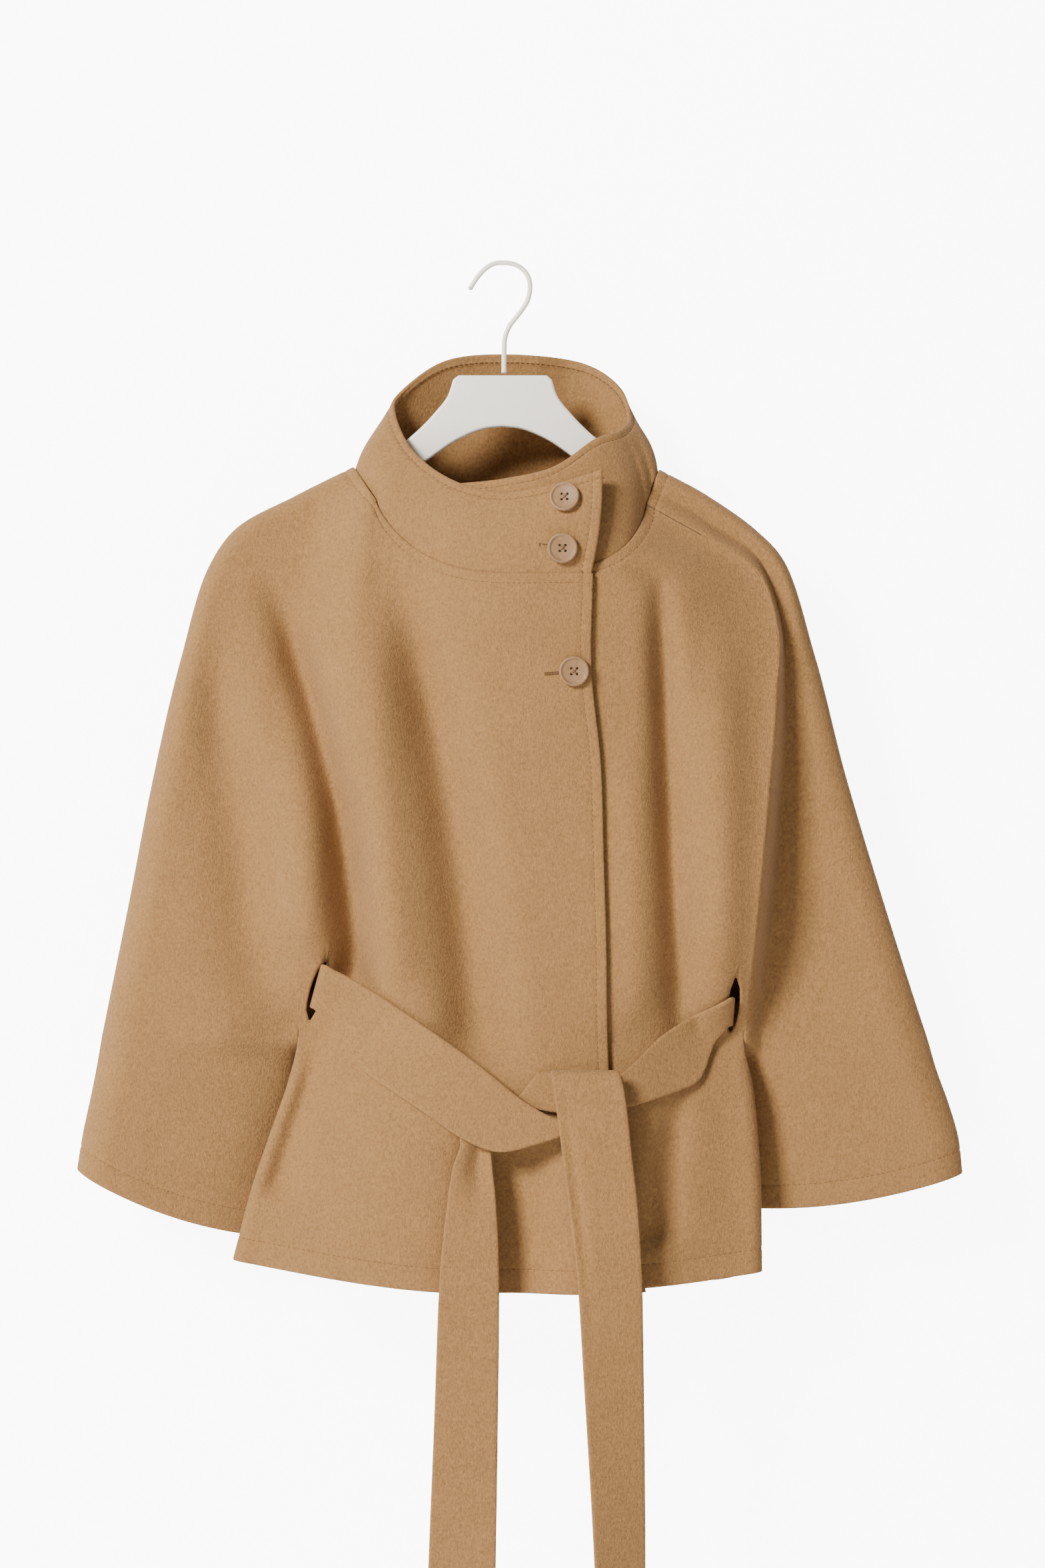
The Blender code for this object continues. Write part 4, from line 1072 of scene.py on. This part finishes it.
def row_of(top_x, top_drop, foot_x, foot_drop, lift):
    """Belt points from an upper to a lower edge, off the fronts by their lift."""
    x, drop = top_x + ACROSS * (foot_x - top_x), top_drop + ACROSS * (foot_drop - top_drop)
    return np.stack([x, stand_off(x, drop, lift + 0 * x), drop], axis=-1)


def belt_rows(data, count, base=BELT_LIFT):
    """Rows of belt points, spaced evenly along a table."""
    t = np.linspace(0, data["t"][-1], count)[:, None]
    *ends, lift = (read(data, column, t) for column in BELT_COLUMNS.split())
    return row_of(*ends, base + lift)


def slot_turn(name, top_drop, foot_drop):
    """Rows of the belt round a slot's inner lip, from inside to outside."""
    half, inward = HALVES[name], 1 if name == "left" else -1
    drops = np.array((top_drop, foot_drop), float)
    t = np.interp(drops, half["seam_drop"], half["t"])
    lips = seam_x(half, drops) + inward * (slot_inset(name, t) + SLOT_HALF)
    rows = [(lips + inward * x_in, drops, -BELT_LIFT - 0.3) for x_in in (10, 2)]
    for angle in np.radians((-50, -25, 0, 25, 50)):
        rows.append((lips - inward * TURN_RADIUS * math.cos(angle), drops,
                     TURN_RADIUS * math.sin(angle)))
    rows.append((lips + inward * 3, drops + (3, 6), BELT_LIFT + 1.2))
    return np.array([row_of(x[0], drop[0], x[1], drop[1], lift) for x, drop, lift in rows])


def smoothed(rows, spacing=2.6):
    """A smooth strip through rows, with new rows evenly spaced in mm."""
    steps = np.linalg.norm(np.diff(rows, axis=0), axis=-1).mean(axis=1)
    keys = np.concatenate([[0], np.cumsum(np.maximum(steps, 0.2))])
    ends = np.array(EDGE_TURN)
    at = np.concatenate([ends, np.arange(3, keys[-1] - 3, spacing), keys[-1] - ends[::-1]])
    return smooth_curve(keys, rows, at)


def belt_piece(stretch, rows):
    """Makes a length of belt through rows, and hangs it on the model."""
    grid = smoothed(np.concatenate(rows)) * (MM, MM, -MM)
    edge = np.min([away_from(grid, side) for side in ALL_SIDES], axis=0)
    sheet_piece("tie_belt_" + stretch, [{"grid": grid, "edge": edge}], BELT_CLOTH, belt_melton,
                "belt_" + stretch)


belt_piece("left", [slot_turn("left", 523, 556), belt_rows(BELT_LEFT, 26)])
belt_piece("right", [slot_turn("right", 547, 569), belt_rows(BELT_RIGHT, 18)])
belt_piece("inside", [belt_rows(BELT_INSIDE, 30, 0)])
belt_piece("wrap", [belt_rows(BELT_WRAP, 12)])


# The belt's two ends hang down the front from the knot. The right one comes up behind the knot
# and falls over it, and its pressed edge turns forward lower down.
TAIL_RIGHT = table(
    "t left_x right_x drop lift turn",
    (0, 38, 84, 607, 8.2, 0),
    (1, 36, 85, 600.5, 10.4, 0),
    (2, 36, 87, 603, 13.0, 0),
    (3, 39, 91, 622, 12.6, 0),
    (4, 44, 95, 659, 10.0, 0),
    (5, 49, 99.5, 699, 6.5, 1),
    (6, 55, 102.5, 750, 6, 4),
    (7, 60, 104, 830, 3, 9),
    (8, 66, 105, 930, 2, 14),
    (9, 71, 105, 1036, 2, 16))
TAIL_LEFT = table(
    "t left_x right_x drop lift turn",
    (0, -33, -8, 640, 0.2, 0),
    (1, -31, -8, 655, 0.4, 0),
    (2, -36, -7, 670, 2, 0),
    (3, -40.5, -4, 699, 3, 0),
    (4, -46, -2, 755, 3, 0),
    (5, -50, -3, 860, 2, 0),
    (6, -54, -4.5, 960, 2, 0),
    (7, -56, -5.5, 1030, 2, 0))
# The hollow under the knot: its place across, its drop, its width, its reach and its depth
RIGHT_GATHER = (0.12, 690, 0.10, 60, 2.5)
LEFT_GATHER = (0.62, 668, 0.30, 24, 7.0)


def tail_rows(data, count, gather):
    """Rows of a hanging belt end, with a hollow under the knot."""
    t = np.linspace(0, data["t"][-1], count)[:, None]
    left, right, drop, lift, turn = (read(data, column, t) for column in
                                     ("left_x", "right_x", "drop", "lift", "turn"))
    x = left + ACROSS * (right - left)
    drop = drop + 0 * x
    ahead = lapped(x, drop).min(axis=1, keepdims=True) - (BELT_LIFT + lift)
    across, below, width, reach, depth = gather
    hollow = depth * np.exp(-((ACROSS - across) / width) ** 2 - ((drop - below) / reach) ** 2)
    return np.stack([x, ahead - turn * (1 - ACROSS) + hollow, drop], axis=-1)


belt_piece("tail_right", [tail_rows(TAIL_RIGHT, 60, RIGHT_GATHER)])
belt_piece("tail_left", [tail_rows(TAIL_LEFT, 50, LEFT_GATHER)])

# The hanger's body is cast in one piece, with rounded edges, and lacquered a satin cream. Its
# arms fill the coat's shoulders, and a round arch is cut under its neck.
# The hanger's upper edge from its neck to the end of an arm, and its lower edge back
HANGER_TOP = ((0, 82.8), (33, 82.8), (37, 86), (41, 98), (51, 111), (68, 128), (92, 144.5),
              (112, 155.5), (152, 176), (180, 195), (190, 203), (197, 212))
HANGER_FOOT = ((199, 220), (195, 225), (184, 222), (150, 208), (110, 184), (80, 163), (55, 145.5),
               (32, 130), (13, 122.5), (0, 121))


def cream_material(name, roughness, grain):
    """Satin cream lacquer with a sprayed coat's faint orange peel."""
    material, tree, shader = new_material(name, Roughness=roughness, Coat_Weight=0.12,
                                          Coat_Roughness=0.35)
    peel, tone = cloudy(tree, grain, (0.93, 0.87, 0.76), (0.96, 0.91, 0.81), {"Detail": 3.0})
    bump = add(tree, "ShaderNodeBump", {"Strength": 0.12, "Distance": 0.0003, "Height": peel})
    fill(tree, shader, {"Base Color": tone, "Normal": bump})
    return material


def rounded_line(corners, sharp, spacing=3.0):
    """A smooth line through points, broken at the sharp ones."""
    line = []
    bounds = [0, *sharp, len(corners) - 1]
    for first, last in zip(bounds, bounds[1:]):
        part = np.array(corners[first:last + 1], float)
        keys = np.concatenate([[0], np.cumsum(np.hypot(*np.diff(part, axis=0).T))])
        data = {"t": keys, "x": part[:, 0], "drop": part[:, 1]}
        at = np.linspace(0, keys[-1], max(2, int(keys[-1] / spacing) + 1))[:-1]
        line += list(zip(read(data, "x", at), read(data, "drop", at)))
    return line + [tuple(corners[-1])]


half = rounded_line(HANGER_TOP, [1, 2]) + rounded_line(HANGER_FOOT, [])
outline = half + [(-x, drop) for x, drop in reversed(half[1:-1])]
curve = bpy.data.curves.new("cast_outline", "CURVE")
curve.dimensions = "2D"
curve.fill_mode = "BOTH"
rim = 2.2 * MM
curve.extrude = 5 * MM - rim
curve.bevel_depth = rim
curve.bevel_resolution = 4
curve.offset = -rim
line = curve.splines.new("POLY")
line.points.add(len(outline) - 1)
for point, (x, drop) in zip(line.points, outline):
    point.co = (x * MM, -drop * MM, 0, 1)
line.use_cyclic_u = True
flat = bpy.data.objects.new("cast_outline", curve)
link(flat)
mesh = finished(flat)
mesh.transform(Matrix.Rotation(math.radians(90), 4, "X"))
shape = bmesh.new()
shape.from_mesh(mesh)
bmesh.ops.remove_doubles(shape, verts=shape.verts, dist=2e-6)
mesh = mesh_from("hanger_casting", shape, cream_material("cream_lacquer", 0.42, 420.0), 40)
place(bpy.data.objects.new("hanger_casting", mesh), "hanger_body")

# The hook is one length of round steel wire, bent over a former and dipped in the same cream.
# Its tip is rounded off and its foot is pressed into the top of the body.
HOOK_RADIUS = 1.85
HOOK = ((1, 82.3), (1.2, 66), (2, 54), (5, 46), (9.5, 40), (14.5, 33.5), (18.5, 27), (20.5, 19),
        (20.3, 12), (17.5, 5.5), (12.5, 1), (7, -1.3), (0.8, -1.9), (-5.6, -1.5), (-12, 1.9),
        (-18, 8), (-25, 18.5))
bend = rounded_line(HOOK, [1], 1.2)
points = np.array([(x, 0, -drop) for x, drop in bend]) * MM
ahead = np.gradient(points, axis=0)
ahead /= np.linalg.norm(ahead, axis=1, keepdims=True)
dome = [(-math.cos(a), math.sin(a)) for a in np.linspace(0.15, math.pi / 2, 6)]
stops = [(points[0] + ahead[0] * HOOK_RADIUS * MM, ahead[0], 1.0)]
stops += [(point, run, 1.0) for point, run in zip(points[1:-1], ahead[1:-1])]
stops += [(points[-1] - ahead[-1] * HOOK_RADIUS * MM * (1 + reach), ahead[-1], size)
          for reach, size in reversed(dome)]
up = np.array((0, 1, 0))
shape = bmesh.new()
skin(shape, [(middle, HOOK_RADIUS * MM * size * np.cross(run, up),
              HOOK_RADIUS * MM * size * up) for middle, run, size in stops], 20)
mesh = mesh_from("hanger_wire", shape, cream_material("cream_dipped_wire", 0.3, 800.0))
place(bpy.data.objects.new("hanger_wire", mesh), "hanger_hook")
